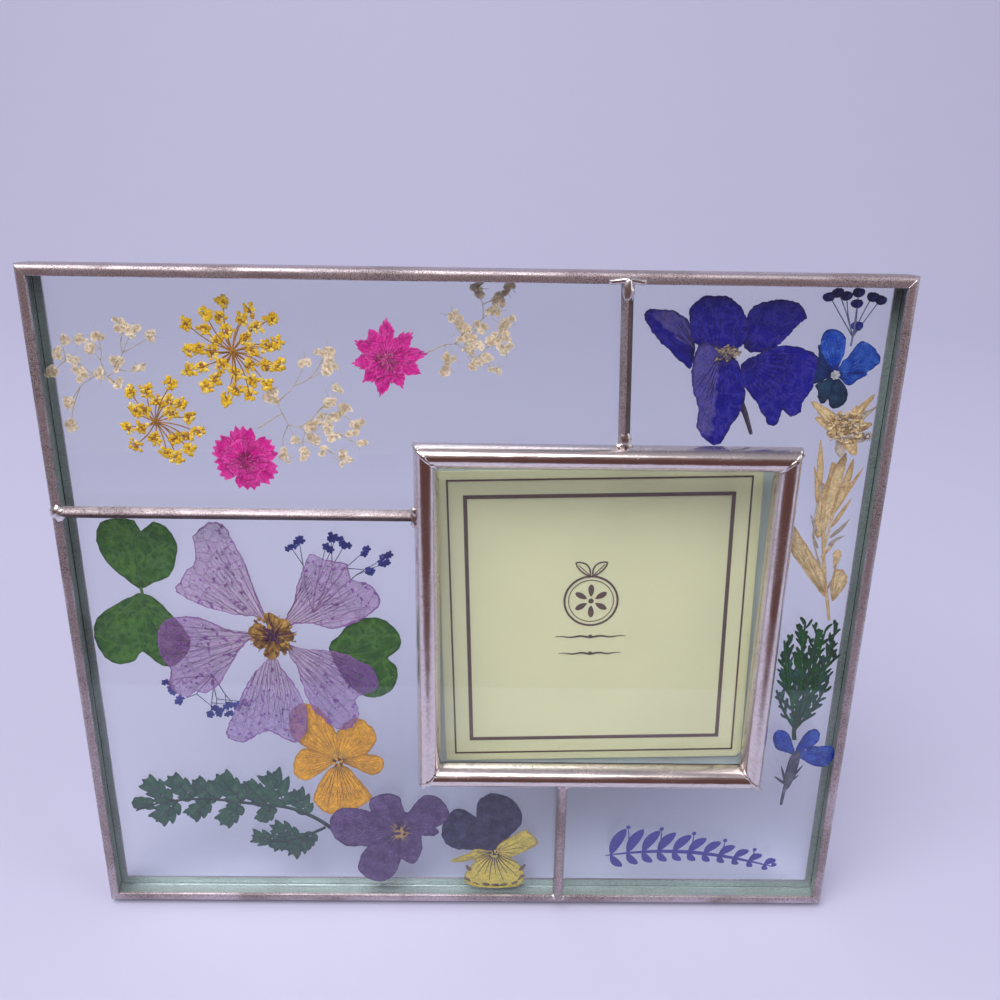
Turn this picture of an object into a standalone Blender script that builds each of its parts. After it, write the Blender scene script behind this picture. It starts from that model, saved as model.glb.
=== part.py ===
"""A glass frame with pressed flowers, on a hinged easel leg.

Every piece is placed in the frame's own upright plane: x to the right, z up from the bottom edge and y
backwards from the front lip, in millimetres. One empty then leans the whole frame back on its bottom edge.
"""

import math

import bmesh
import bpy
from mathutils import Vector

MM = 0.001

# Overall frame
WIDTH = 152.4
HEIGHT = 131.6
LEAN_DEG = 12.0
GAP = 0.3

# Rim: a channel-shaped metal came that holds both sheets of glass
RIM_DEPTH = 7.1
RIM_LIP = 2.0
RIM_WALL = 0.6
RIM_ROUND = 1.0
RIM_EDGE_ROUND = 0.2
ROUND_STEPS = 5

# Glass and the thin space for the flowers
GLASS = 1.75
GLASS_INSET = RIM_WALL + GAP
FRONT_GLASS_Y = RIM_WALL + GAP
FLOWER_SPACE = 1.8
REAR_GLASS_Y = FRONT_GLASS_Y + GLASS + FLOWER_SPACE
REAR_GLASS_BACK = REAR_GLASS_Y + GLASS
PRESSED = 0.2
LAYER_PITCH = 0.5
FRONT_LAYER = FRONT_GLASS_Y + GLASS + GAP
MIDDLE_LAYER = FRONT_LAYER + LAYER_PITCH
BACK_LAYER = MIDDLE_LAYER + LAYER_PITCH
CURVE_STEPS = 2

# Half-round bars on the front glass
BAR_BACK_Y = FRONT_GLASS_Y - GAP
DIVIDER_WIDTH = 2.1
DIVIDER_RISE = 1.7
BEZEL_WIDTH = 4.6
BEZEL_RISE = 3.4
BEZEL_LEFT = -10.0
BEZEL_RIGHT = 59.8
BEZEL_BOTTOM = 30.2
BEZEL_TOP = 101.6
BEZEL_MIDDLE = (BEZEL_LEFT + BEZEL_RIGHT) / 2
LEFT_DIVIDER_Z = 87.8
TOP_DIVIDER_X = (26.7, 27.7)
BOTTOM_DIVIDER_X = 19.4

# Photo card and backing
CARD_SIZE = (61.2, 62.6)
CARD_CENTRE = (25.2, 64.4)
CARD_TURN_DEG = 1.6
CARD_THICK = 0.25
CARD_Y = REAR_GLASS_BACK + GAP
BOARD_Y = CARD_Y + CARD_THICK + GAP
BOARD_THICK = 2.0
BOARD_BACK = BOARD_Y + BOARD_THICK
BOARD_CORNER = 2.0
THUMB_NOTCH = 7.0
CHANNEL_WALL = 0.8
CHANNEL_LIP = 3.5
CHANNEL_LIP_THICK = 0.55
CHANNEL_TOP = 97.5

# Easel leg and its hinge
PIVOT_Z = 88.0
PIVOT_Y = BOARD_BACK + 3.25
OPEN_DEG = 26.0
BRACKET_HALF_WIDTH = 13.0
BRACKET_BELOW = 7.5
BRACKET_ABOVE = 4.5
BRACKET_THICK = 0.8
EAR_INNER = 9.5
EAR_THICK = 1.5
KNUCKLE = 1.9
PIN = 0.75
PIN_CLEARANCE = 0.12
PIN_HEAD = 1.5
PIN_HEAD_THICK = 0.6
LEG_THICK = 2.0
LEG_HALF_TOP = 9.2
LEG_HALF_FOOT = 15.0
LEG_SHOULDER = 6.0
LEG_EDGE = 0.3
TURNED_SIDES = 16

# Finishes: colour, roughness, metallic, transmission
FINISHES = {
    "tin_came": ((0.62, 0.58, 0.60), 0.38, 1.0, 0.0),
    "polished_bezel": ((0.78, 0.70, 0.69), 0.15, 1.0, 0.0),
    "clear_glass": ((0.93, 0.96, 0.98), 0.02, 0.0, 1.0),
    "printed_card": ((0.73, 0.73, 0.52), 0.6, 0.0, 0.0),
    "backing_board": ((0.05, 0.05, 0.06), 0.9, 0.0, 0.0),
    "hinge_steel": ((0.70, 0.68, 0.66), 0.3, 1.0, 0.0),
    "mallow_petal": ((0.50, 0.33, 0.62), 0.7, 0.0, 0.0),
    "dried_heart": ((0.45, 0.26, 0.07), 0.8, 0.0, 0.0),
    "green_leaf": ((0.05, 0.16, 0.04), 0.7, 0.0, 0.0),
    "blue_green_leaf": ((0.05, 0.13, 0.11), 0.7, 0.0, 0.0),
    "ultramarine_petal": ((0.02, 0.01, 0.30), 0.7, 0.0, 0.0),
    "cobalt_petal": ((0.02, 0.10, 0.45), 0.7, 0.0, 0.0),
    "golden_petal": ((0.80, 0.42, 0.03), 0.7, 0.0, 0.0),
    "plum_petal": ((0.12, 0.05, 0.18), 0.7, 0.0, 0.0),
    "navy_petal": ((0.03, 0.03, 0.12), 0.7, 0.0, 0.0),
    "lemon_petal": ((0.80, 0.62, 0.08), 0.7, 0.0, 0.0),
    "straw": ((0.66, 0.50, 0.27), 0.8, 0.0, 0.0),
    "yellow_umbel": ((0.75, 0.45, 0.06), 0.8, 0.0, 0.0),
    "magenta_petal": ((0.62, 0.01, 0.27), 0.7, 0.0, 0.0),
    "cream_blossom": ((0.78, 0.68, 0.50), 0.8, 0.0, 0.0),
}

# Outlines of the pressed pieces, as (x, z) of points along each edge
MALLOW_UPPER_LEFT = [
    (-40, 66.5), (-41, 71.5), (-42.5, 77.5), (-44.5, 82), (-46, 85), (-48.5, 85), (-51.5, 82.5),
    (-51.5, 78.5), (-52, 76.5), (-53.5, 75.5), (-55, 73), (-56, 71), (-52, 68.5), (-48, 67), (-43, 66),
]
MALLOW_UPPER_RIGHT = [
    (-35, 65), (-33.5, 69.5), (-32.5, 73.5), (-31, 77), (-30, 79), (-27.5, 78), (-25.5, 77.5), (-23, 77),
    (-22.5, 74), (-20.5, 73.5), (-18.5, 72.5), (-17, 70), (-17.5, 68), (-20.5, 65.5), (-24, 64), (-27, 63.5),
    (-30, 64.5),
]
MALLOW_LEFT = [
    (-42.5, 62), (-46, 62.8), (-48.5, 64), (-51.5, 65.5), (-55, 65.8), (-58.5, 65), (-60.2, 62.5), (-60.5, 59),
    (-60, 56.5), (-58.5, 54), (-59.5, 51), (-58, 49), (-56, 48), (-54, 49.5), (-52, 49), (-49.5, 51), (-47, 55),
    (-44.5, 59),
]
MALLOW_LOW = [
    (-39, 57), (-42, 54), (-44.5, 50), (-46.5, 45.5), (-49, 40), (-47.5, 38), (-45, 38), (-42.5, 39.5),
    (-40.5, 40.5), (-38.5, 39.5), (-36, 38), (-34.5, 38), (-32.5, 41), (-32.5, 45.5), (-34, 50), (-36, 53.5),
    (-38, 57),
]
MALLOW_LOW_RIGHT = [
    (-34.5, 58.7), (-32, 59), (-28, 58.7), (-24.5, 58), (-21.5, 56.5), (-19, 55), (-18, 52), (-18.5, 50),
    (-21, 49), (-22.5, 47.5), (-22, 44.5), (-23.5, 41.5), (-26.5, 41), (-29, 43), (-31.5, 46), (-33, 51.5),
]
HEART_UPPER = [
    (-63, 71.3), (-65.5, 73.5), (-68.5, 76.5), (-70, 81), (-69, 84.5), (-66.5, 85.5), (-62.5, 85.3), (-61.5, 83),
    (-59, 85), (-56.5, 83.8), (-55, 80.5), (-55.5, 77.5), (-57, 74), (-60.5, 72.5),
]
HEART_LOWER = [
    (-63, 70.4), (-60.5, 69.5), (-58, 66.5), (-55, 62.5), (-54.5, 59), (-56.5, 56), (-59, 54.5), (-61.5, 55.5),
    (-64, 58), (-65.5, 56), (-68.5, 55), (-71.5, 56.5), (-73, 61), (-72, 65), (-68, 68), (-64.5, 69.8),
]
HEART_RIGHT = [
    (-27.5, 59), (-25.5, 61.5), (-23, 64.5), (-19.5, 65.7), (-16, 65), (-13.5, 62), (-13.5, 59), (-16, 57),
    (-14.5, 55.5), (-14, 53), (-15.5, 49.5), (-19, 48), (-22, 49), (-25, 52.5),
]
GOLDEN_VIOLA_UPPER = [
    (-27, 32.3), (-29, 31.5), (-32, 29), (-34, 28), (-36, 30), (-35.5, 34), (-34.5, 37), (-36.5, 38.5),
    (-36, 44), (-34.5, 46), (-32, 46.5), (-29, 44.5), (-27, 41), (-24.5, 42.5), (-22.5, 43.5), (-19.5, 41),
    (-18.5, 38), (-19.5, 35.5), (-17.5, 34), (-17.5, 31.5), (-19.5, 29.5), (-22.5, 31), (-24.5, 32),
]
GOLDEN_VIOLA_LOWER = [
    (-26.7, 32.5), (-29, 31), (-32, 25.5), (-31.5, 22.5), (-29, 20.5), (-25, 21), (-21.5, 23), (-20, 25),
    (-23, 29.5), (-24.7, 32),
]
PLUM_VIOLA = [
    (-23.5, 12.5), (-26, 12.5), (-28, 15), (-29, 17.5), (-28.5, 20.5), (-26, 22.5), (-21.5, 22.5), (-20.5, 24.5),
    (-17, 26), (-14, 25), (-12.5, 21.5), (-10.5, 24.5), (-8.5, 25.7), (-6, 25), (-4.5, 23), (-3.5, 20),
    (-5.5, 16), (-8, 15.5), (-10, 17), (-9.5, 12.5), (-11.5, 8), (-14, 8.5), (-15, 5), (-18.5, 3.5),
    (-21.5, 4.5), (-23.5, 7), (-23, 10.5),
]
NAVY_VIOLA_UPPER = [
    (1, 21), (1.5, 23.5), (3.5, 25), (5.5, 25.5), (8.5, 24.5), (10.5, 22.5), (11.5, 20), (11.3, 17.5), (9.5, 15.5),
    (8, 13.5), (4.5, 13), (2, 12.5), (0, 11.5), (-3.5, 11.3), (-5.3, 13), (-5.5, 16.5), (-5, 18.5), (-3.5, 21),
    (-1.5, 22),
]
NAVY_VIOLA_LOWER = [
    (2.5, 13.5), (0.5, 10.8), (-2.5, 9.5), (-3.8, 8.3), (-1, 8.3), (1, 8.5), (-0.5, 6), (-1, 3.7), (0.5, 2.2),
    (3, 1.8), (6, 1.6), (9, 1.8), (11.5, 2.5), (12.5, 5), (12, 7.5), (10, 9.5), (13, 11.7), (15, 13.3),
    (13.7, 15.5), (12, 17), (10, 15.5), (8, 14.5), (5, 14),
]
PARSLEY_LEAF = [
    (-29.5, 17.5), (-33.5, 21.5), (-36.7, 26.5), (-40.5, 31.5), (-42.5, 31), (-43, 29), (-46.5, 28.5), (-48.5, 27.5),
    (-51, 30.5), (-54, 30.5), (-55.5, 28), (-58.5, 29.5), (-61.5, 30), (-63, 28.5), (-66, 29.5), (-68.5, 28),
    (-68.5, 24.5), (-69.5, 21), (-71, 20), (-66.5, 19), (-65, 16.5), (-61, 18.5), (-57.5, 18.5), (-54, 19),
    (-52, 16.5), (-47, 17.5), (-46.5, 14), (-43.5, 13.5), (-43, 11), (-39.5, 12), (-39, 9), (-34.5, 10.5),
    (-31, 15),
]
FERN_FROND = [
    (67, 38.5), (66, 42.5), (63.5, 44), (61.5, 52), (61, 58), (62.5, 61.5), (62.5, 65.5), (64.5, 67), (66.5, 69.5),
    (69.5, 67.5), (73, 67), (74.6, 65), (73, 62.5), (73.5, 59.5), (73, 56), (73.5, 50), (72, 44.5), (70, 42),
    (67.8, 42.5),
]
LOBELIA = [
    (65.3, 24), (65.3, 28.5), (65.5, 31.5), (65.3, 34.7), (63, 36), (62, 39), (62.2, 41.3), (63.5, 42), (65.5, 40.7),
    (66.8, 37.3), (68, 40.5), (70, 42.2), (71.5, 41.3), (72, 38.3), (74, 38.7), (75, 37), (74.7, 34.7),
    (73, 33), (70.5, 33.3), (69, 33.7), (68.3, 31), (66.5, 28.5),
]
LARKSPUR_LEFT = [
    (39, 115), (36, 117.5), (32, 121), (30.3, 124.2), (31.2, 125.3), (33.5, 125.2), (35.5, 125), (38, 123.5),
    (39.3, 121), (39.7, 118),
]
LARKSPUR_TOP = [
    (39.5, 119.5), (38.5, 122), (38, 125), (39, 126.7), (40.7, 127.6), (44, 127.6), (46, 126.7), (47.7, 125),
    (48.5, 122.5), (48.2, 119.8), (46, 118.5), (42.5, 118.7),
]
LARKSPUR_RIGHT = [
    (48.5, 125), (50.5, 126.7), (54.5, 127.2), (57, 126.5), (58.8, 124.3), (57, 122.5), (55, 120), (53, 118.5),
    (49.5, 118), (47.7, 119.8), (48, 122.5),
]
LARKSPUR_LONG = [
    (40, 119.5), (42.5, 119.5), (45, 118.5), (47.5, 116), (48.5, 113), (49.2, 110.5), (48.7, 108), (47, 104.5),
    (45.3, 101.6), (43.5, 101.6), (40.9, 104.7), (41, 108), (39.5, 112), (39.3, 115.5),
]
LARKSPUR_RAGGED = [
    (48, 116), (50.5, 117.7), (53.5, 119), (56.5, 119.3), (59.5, 118.5), (61.5, 116.5), (61.3, 114), (61, 111.5),
    (59.5, 109), (59.5, 107.5), (57.7, 106.5), (56.2, 108), (55.7, 105.5), (54, 105), (51.5, 109), (48.8, 112),
]
LARKSPUR_SPUR = [(48.3, 108.6), (49.5, 109), (50.6, 106), (51.6, 103), (50.8, 103.2), (49.3, 106)]
SMALL_LARKSPUR = [
    (66.5, 108.3), (64, 108), (62.5, 110), (62, 111.7), (59.5, 112), (57, 114), (56.5, 116.5), (58, 118.5),
    (60.5, 118.2), (62, 116), (61.3, 119.5), (62.2, 121.8), (64, 122.3), (66, 121), (66.5, 117.7), (67.3, 115.5),
    (68, 119), (69.2, 120.5), (72.7, 117.5), (72, 115), (69.5, 113.5), (68, 112), (67.8, 109.7),
]
BUD_SPRAY = [
    (66.8, 119.3), (63.5, 121.5), (61.5, 126), (61.2, 128.5), (63.5, 129.2), (66.5, 129.4), (71, 128.8),
    (71.3, 126), (69.3, 122),
]
STRAW_HEAD = [
    (60.8, 110), (62, 108.3), (65, 108.7), (67.5, 107.7), (70, 109.2), (72.5, 111.7), (72.2, 109.9), (71.6, 108.8),
    (73.3, 109), (72.2, 106.3), (71.2, 105), (72, 103.5), (71.5, 101.5), (70, 99.5), (67.5, 99), (67, 101),
    (65, 103), (63, 105),
]
STRAW_STEM = [
    (63.5, 103.5), (65, 103.5), (65.5, 99.5), (67, 98.5), (69.5, 99), (69, 96), (67.5, 91.5), (68.2, 88.5),
    (69.7, 93), (72.3, 98), (72.2, 95.5), (71.2, 92), (71.3, 90), (71, 86), (69, 83.5), (67.5, 81.5),
    (69.3, 75), (71, 67.5), (70, 67.5), (68, 75), (66, 80.5), (64.5, 85.5), (64, 88.5), (64.3, 92),
    (63.3, 95), (63.5, 100),
]
STRAW_LEAF_LONG = [
    (60.6, 86), (63, 83), (66, 79), (68, 76), (68.7, 71.3), (65.5, 74.7), (63, 78), (60.8, 81),
]
STRAW_LEAF_TORN = [
    (69, 80), (70, 81.2), (70.8, 80), (70.2, 78.5), (70, 77), (71.6, 77), (72.6, 74.5), (71.5, 72.3),
    (70.2, 70.3), (69.4, 73.5), (69.6, 77),
]
BABYS_BREATH_LEFT = [
    (-53, 106), (-57, 111), (-55, 117), (-56, 122.5), (-62, 123), (-68, 120), (-73.5, 120), (-74, 112),
    (-73.5, 104), (-70, 100.5), (-66, 104), (-60, 103),
]
BABYS_BREATH_MIDDLE = [
    (-38, 99.5), (-35.5, 103), (-37.5, 108), (-35, 115), (-31, 118), (-26, 117), (-22, 109), (-18.5, 105),
    (-18.5, 98), (-23, 95.5), (-30, 96),
]
BABYS_BREATH_RIGHT = [
    (-9, 115), (-7, 120), (-3, 125), (2, 129.2), (7.5, 129.2), (8.5, 122), (8.5, 114), (4, 112), (-3, 113.5),
]
BLUE_FLORETS_UPPER = [
    (-30, 64.5), (-33, 71), (-35.7, 80.5), (-32, 83.5), (-24, 84.5), (-18, 81), (-13.5, 78), (-15.5, 74),
    (-22, 73), (-26.5, 65),
]
BLUE_FLORETS_LOWER = [
    (-49, 57), (-53, 53.2), (-57, 52.6), (-60.8, 51.8), (-60.3, 48), (-56, 45), (-52, 43), (-46.5, 42.3),
    (-43, 47.5), (-45.5, 51.5),
]
UMBELS = {
    "umbel_large": ((-41.6, 117.1), 9.7),
    "umbel_small": ((-54.8, 103.7), 7.9),
}
PINK_FLOWERS = {
    "pink_flower_upper": ((-14.0, 116.3), 6.7),
    "pink_flower_lower": ((-40.2, 98.1), 5.9),
}
UMBEL_LOBES = 14
PINK_PETALS = 9
MALLOW_HEART = ((-38.0, 62.0), 4.5)
HEART_LOBES = 6

PLATES = [
    ("mallow_petal_upper_left", MALLOW_UPPER_LEFT, MIDDLE_LAYER, "mallow_petal"),
    ("mallow_petal_upper_right", MALLOW_UPPER_RIGHT, MIDDLE_LAYER, "mallow_petal"),
    ("mallow_petal_left", MALLOW_LEFT, MIDDLE_LAYER, "mallow_petal"),
    ("mallow_petal_low", MALLOW_LOW, MIDDLE_LAYER, "mallow_petal"),
    ("mallow_petal_low_right", MALLOW_LOW_RIGHT, MIDDLE_LAYER, "mallow_petal"),
    ("heart_leaf_upper", HEART_UPPER, BACK_LAYER, "green_leaf"),
    ("heart_leaf_lower", HEART_LOWER, BACK_LAYER, "green_leaf"),
    ("heart_leaf_right", HEART_RIGHT, BACK_LAYER, "green_leaf"),
    ("golden_viola_upper", GOLDEN_VIOLA_UPPER, BACK_LAYER, "golden_petal"),
    ("golden_viola_lower", GOLDEN_VIOLA_LOWER, MIDDLE_LAYER, "golden_petal"),
    ("plum_viola", PLUM_VIOLA, FRONT_LAYER, "plum_petal"),
    ("navy_viola_upper", NAVY_VIOLA_UPPER, BACK_LAYER, "navy_petal"),
    ("navy_viola_lower", NAVY_VIOLA_LOWER, MIDDLE_LAYER, "lemon_petal"),
    ("parsley_leaf", PARSLEY_LEAF, BACK_LAYER, "blue_green_leaf"),
    ("fern_frond", FERN_FROND, MIDDLE_LAYER, "green_leaf"),
    ("lobelia", LOBELIA, FRONT_LAYER, "cobalt_petal"),
    ("larkspur_petal_left", LARKSPUR_LEFT, BACK_LAYER, "ultramarine_petal"),
    ("larkspur_petal_top", LARKSPUR_TOP, MIDDLE_LAYER, "ultramarine_petal"),
    ("larkspur_petal_right", LARKSPUR_RIGHT, BACK_LAYER, "ultramarine_petal"),
    ("larkspur_petal_long", LARKSPUR_LONG, FRONT_LAYER, "ultramarine_petal"),
    ("larkspur_petal_ragged", LARKSPUR_RAGGED, MIDDLE_LAYER, "ultramarine_petal"),
    ("larkspur_spur", LARKSPUR_SPUR, BACK_LAYER, "plum_petal"),
    ("small_larkspur", SMALL_LARKSPUR, BACK_LAYER, "cobalt_petal"),
    ("bud_spray", BUD_SPRAY, MIDDLE_LAYER, "ultramarine_petal"),
    ("straw_flower_head", STRAW_HEAD, FRONT_LAYER, "straw"),
    ("straw_stem", STRAW_STEM, BACK_LAYER, "straw"),
    ("straw_leaf_long", STRAW_LEAF_LONG, MIDDLE_LAYER, "straw"),
    ("straw_leaf_torn", STRAW_LEAF_TORN, MIDDLE_LAYER, "straw"),
    ("babys_breath_left", BABYS_BREATH_LEFT, BACK_LAYER, "cream_blossom"),
    ("babys_breath_middle", BABYS_BREATH_MIDDLE, BACK_LAYER, "cream_blossom"),
    ("babys_breath_right", BABYS_BREATH_RIGHT, BACK_LAYER, "cream_blossom"),
    ("blue_florets_upper", BLUE_FLORETS_UPPER, BACK_LAYER, "cobalt_petal"),
    ("blue_florets_lower", BLUE_FLORETS_LOWER, BACK_LAYER, "cobalt_petal"),
]


def clear_scene():
    for old in list(bpy.data.objects):
        bpy.data.objects.remove(old, do_unlink=True)


def finish(name):
    """The Principled material of one finish, made the first time it is asked for."""
    found = bpy.data.materials.get(name)
    if found is not None:
        return found
    colour, roughness, metallic, transmission = FINISHES[name]
    made = bpy.data.materials.new(name)
    made.use_nodes = True
    shader = made.node_tree.nodes["Principled BSDF"]
    shader.inputs["Base Color"].default_value = (*colour, 1.0)
    shader.inputs["Roughness"].default_value = roughness
    shader.inputs["Metallic"].default_value = metallic
    shader.inputs["Transmission Weight"].default_value = transmission
    return made


def add_piece(name, mesh, finish_name, parent):
    piece = bpy.data.objects.new(name, mesh)
    bpy.context.scene.collection.objects.link(piece)
    piece.parent = parent
    mesh.materials.append(finish(finish_name))
    return piece


def mesh_between_rings(name, rings, smooth=False):
    """A closed mesh through rings of points in order, each ring a closed loop, with flat ends."""
    shape = bmesh.new()
    loops = [[shape.verts.new(Vector(p) * MM) for p in ring] for ring in rings]
    shape.faces.new(loops[0])
    shape.faces.new(list(reversed(loops[-1])))
    for low, high in zip(loops, loops[1:]):
        for i in range(len(low)):
            j = (i + 1) % len(low)
            shape.faces.new((low[i], low[j], high[j], high[i]))
    bmesh.ops.recalc_face_normals(shape, faces=shape.faces)
    mesh = bpy.data.meshes.new(name)
    shape.to_mesh(mesh)
    shape.free()
    if smooth:
        mesh.shade_smooth()
        mesh.set_sharp_from_angle(angle=math.radians(40))
    return mesh


def plate_mesh(name, outline, y, thickness):
    """A flat plate of the given outline in the frame's plane, its front at depth y."""
    front = [(x, y, z) for x, z in outline]
    back = [(x, y + thickness, z) for x, z in outline]
    return mesh_between_rings(name, [front, back])


def smooth_outline(points, steps):
    """Closed curve through the points, with the given number of stretches between each two."""
    out = []
    count = len(points)
    for i in range(count):
        before, here, there, after = (Vector(points[(i + k - 1) % count]) for k in range(4))
        for step in range(steps):
            t = step / steps
            out.append(tuple(
                0.5 * (
                    2 * here
                    + (there - before) * t
                    + (2 * before - 5 * here + 4 * there - after) * t ** 2
                    + (3 * here - before - 3 * there + after) * t ** 3
                )
            ))
    return out


def lobed_outline(centre, radius, lobes, share, steps):
    """A round outline whose radius swings between its full size and that less the share, once per lobe."""
    out = []
    for i in range(lobes * steps):
        angle = math.tau * i / (lobes * steps)
        r = radius * (1 - share * (0.5 - 0.5 * math.cos(lobes * angle)))
        out.append((centre[0] + r * math.cos(angle), centre[1] + r * math.sin(angle)))
    return out


def box_outline(left, right, low, high):
    return [(left, low), (right, low), (right, high), (left, high)]


def rounding(centre, radius, start_deg, end_deg, steps=ROUND_STEPS):
    """Points along an arc, both ends included."""
    out = []
    for i in range(steps + 1):
        angle = math.radians(start_deg + (end_deg - start_deg) * i / steps)
        out.append((centre[0] + radius * math.cos(angle), centre[1] + radius * math.sin(angle)))
    return out


def came_profile():
    """The rim's section as (inwards from the outer edge, depth): a channel, rounded on its outside."""
    back = RIM_DEPTH
    r = RIM_ROUND
    e = RIM_EDGE_ROUND
    out = rounding((RIM_LIP - e, e), e, 0, -90, 2)
    out += rounding((r, r), r, -90, -180)
    out += rounding((r, back - r), r, 180, 90)
    out += rounding((RIM_LIP - e, back - e), e, 90, 0, 2)
    out += [(RIM_LIP, back - RIM_WALL), (RIM_WALL, back - RIM_WALL), (RIM_WALL, RIM_WALL), (RIM_LIP, RIM_WALL)]
    return out


def half_round_profile(width, rise, steps=12):
    """A half-round bar's section as (across, depth), flat against the glass."""
    out = []
    for i in range(steps + 1):
        angle = math.pi * i / steps
        out.append((width / 2 * (1 - math.cos(angle)), BAR_BACK_Y - rise * math.sin(angle)))
    return out


def lip_profile():
    """A backing channel's section as (inwards, depth): a wall with a lip over the board."""
    back = BOARD_BACK + GAP + CHANNEL_LIP_THICK
    lip_front = BOARD_BACK + GAP
    return [
        (0, CARD_Y), (CHANNEL_WALL, CARD_Y), (CHANNEL_WALL, lip_front), (CHANNEL_LIP, lip_front),
        (CHANNEL_LIP, back), (0, back),
    ]


def bar(name, start, end, inward, profile, mitred, finish_name, parent):
    """A straight bar of one section from start to end in the frame's plane, its ends square or mitred."""
    start, end = Vector(start), Vector(end)
    along = (end - start).normalized()
    inward = Vector(inward)
    rings = []
    for corner, way in ((start, along), (end, -along)):
        ring = []
        for across, depth in profile:
            back_off = across + GAP * math.sqrt(0.5) if mitred else 0.0
            spot = corner + way * back_off + inward * across
            ring.append((spot.x, depth, spot.y))
        rings.append(ring)
    return add_piece(name, mesh_between_rings(name, rings, smooth=True), finish_name, parent)


def rounded_rectangle(left, right, low, high, profile, names, finish_name, parent):
    """Four mitred bars round a rectangle, in the order bottom, right, top, left."""
    corners = [(left, low), (right, low), (right, high), (left, high)]
    inward = [(0, 1), (-1, 0), (0, -1), (1, 0)]
    for i, name in enumerate(names):
        bar(name, corners[i], corners[(i + 1) % 4], inward[i], profile, True, finish_name, parent)


def build_rim(parent):
    half = WIDTH / 2
    names = ("rim_bottom", "rim_right", "rim_top", "rim_left")
    rounded_rectangle(-half, half, 0, HEIGHT, came_profile(), names, "tin_came", parent)


def build_glass(parent):
    half = WIDTH / 2 - GLASS_INSET
    outline = box_outline(-half, half, GLASS_INSET, HEIGHT - GLASS_INSET)
    for name, y in (("front_glass", FRONT_GLASS_Y), ("rear_glass", REAR_GLASS_Y)):
        add_piece(name, plate_mesh(name, outline, y, GLASS), "clear_glass", parent)


def build_bezel(parent):
    names = ("bezel_bottom", "bezel_right", "bezel_top", "bezel_left")
    profile = half_round_profile(BEZEL_WIDTH, BEZEL_RISE)
    rounded_rectangle(
        BEZEL_LEFT, BEZEL_RIGHT, BEZEL_BOTTOM, BEZEL_TOP, profile, names, "polished_bezel", parent
    )


def build_dividers(parent):
    profile = half_round_profile(DIVIDER_WIDTH, DIVIDER_RISE, 8)
    half = DIVIDER_WIDTH / 2
    rim_inside = RIM_LIP + GAP
    routes = {
        "divider_left": (
            (-WIDTH / 2 + rim_inside, LEFT_DIVIDER_Z - half),
            (BEZEL_LEFT - GAP, LEFT_DIVIDER_Z - half),
            (0, 1),
        ),
        "divider_top": (
            (TOP_DIVIDER_X[1] + half, BEZEL_TOP + GAP),
            (TOP_DIVIDER_X[0] + half, HEIGHT - rim_inside),
            (-1, 0),
        ),
        "divider_bottom": (
            (BOTTOM_DIVIDER_X + half, rim_inside),
            (BOTTOM_DIVIDER_X + half, BEZEL_BOTTOM - GAP),
            (-1, 0),
        ),
    }
    for name, (start, end, inward) in routes.items():
        bar(name, start, end, inward, profile, False, "tin_came", parent)


def build_photo_card(parent):
    """The card has slipped down and turned a little behind its window."""
    turn = math.radians(CARD_TURN_DEG)
    outline = []
    for x, z in box_outline(-CARD_SIZE[0] / 2, CARD_SIZE[0] / 2, -CARD_SIZE[1] / 2, CARD_SIZE[1] / 2):
        outline.append((
            CARD_CENTRE[0] + x * math.cos(turn) - z * math.sin(turn),
            CARD_CENTRE[1] + x * math.sin(turn) + z * math.cos(turn),
        ))
    add_piece("photo_card", plate_mesh("photo_card", outline, CARD_Y, CARD_THICK), "printed_card", parent)


def build_backing(parent):
    """The board behind the card, and the three soldered channels it slides into from above."""
    left = BEZEL_LEFT + CHANNEL_WALL + GAP
    right = BEZEL_RIGHT - CHANNEL_WALL - GAP
    low = BEZEL_BOTTOM + CHANNEL_WALL + GAP
    r = BOARD_CORNER
    outline = rounding((right - r, low + r), r, -90, 0)
    outline += rounding((right - r, CHANNEL_TOP - r), r, 0, 90)
    outline += rounding((BEZEL_MIDDLE, CHANNEL_TOP + 2), THUMB_NOTCH, -20, -160, 8)
    outline += rounding((left + r, CHANNEL_TOP - r), r, 90, 180)
    outline += rounding((left + r, low + r), r, 180, 270)
    board = plate_mesh("backing_board", outline, BOARD_Y, BOARD_THICK)
    add_piece("backing_board", board, "backing_board", parent)

    profile = lip_profile()
    side_low = BEZEL_BOTTOM + CHANNEL_LIP + GAP
    routes = {
        "backing_channel_left": ((BEZEL_LEFT, side_low), (BEZEL_LEFT, CHANNEL_TOP), (1, 0)),
        "backing_channel_right": ((BEZEL_RIGHT, side_low), (BEZEL_RIGHT, CHANNEL_TOP), (-1, 0)),
        "backing_channel_bottom": ((BEZEL_LEFT, BEZEL_BOTTOM), (BEZEL_RIGHT, BEZEL_BOTTOM), (0, 1)),
    }
    for name, (start, end, inward) in routes.items():
        bar(name, start, end, inward, profile, False, "tin_came", parent)


def side_plate(name, outline, left, right):
    """A solid whose outline is (depth, up) from the pivot, from x left to x right."""
    rings = [[(x, y, z) for y, z in outline] for x in (left, right)]
    return mesh_between_rings(name, rings)


def turned_outline(radius):
    step = math.tau / TURNED_SIDES
    return [(radius * math.cos(i * step), radius * math.sin(i * step)) for i in range(TURNED_SIDES)]


def add_cutter(name, mesh, owner):
    """A hidden helper that shapes its owner through a Boolean."""
    helper = bpy.data.objects.new(name, mesh)
    bpy.context.scene.collection.objects.link(helper)
    helper.parent = owner
    helper.hide_render = True
    helper.display_type = "WIRE"
    return helper


def add_boolean(owner, helper, operation):
    cut = owner.modifiers.new(helper.name, "BOOLEAN")
    cut.operation = operation
    cut.solver = "EXACT"
    cut.object = helper


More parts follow.
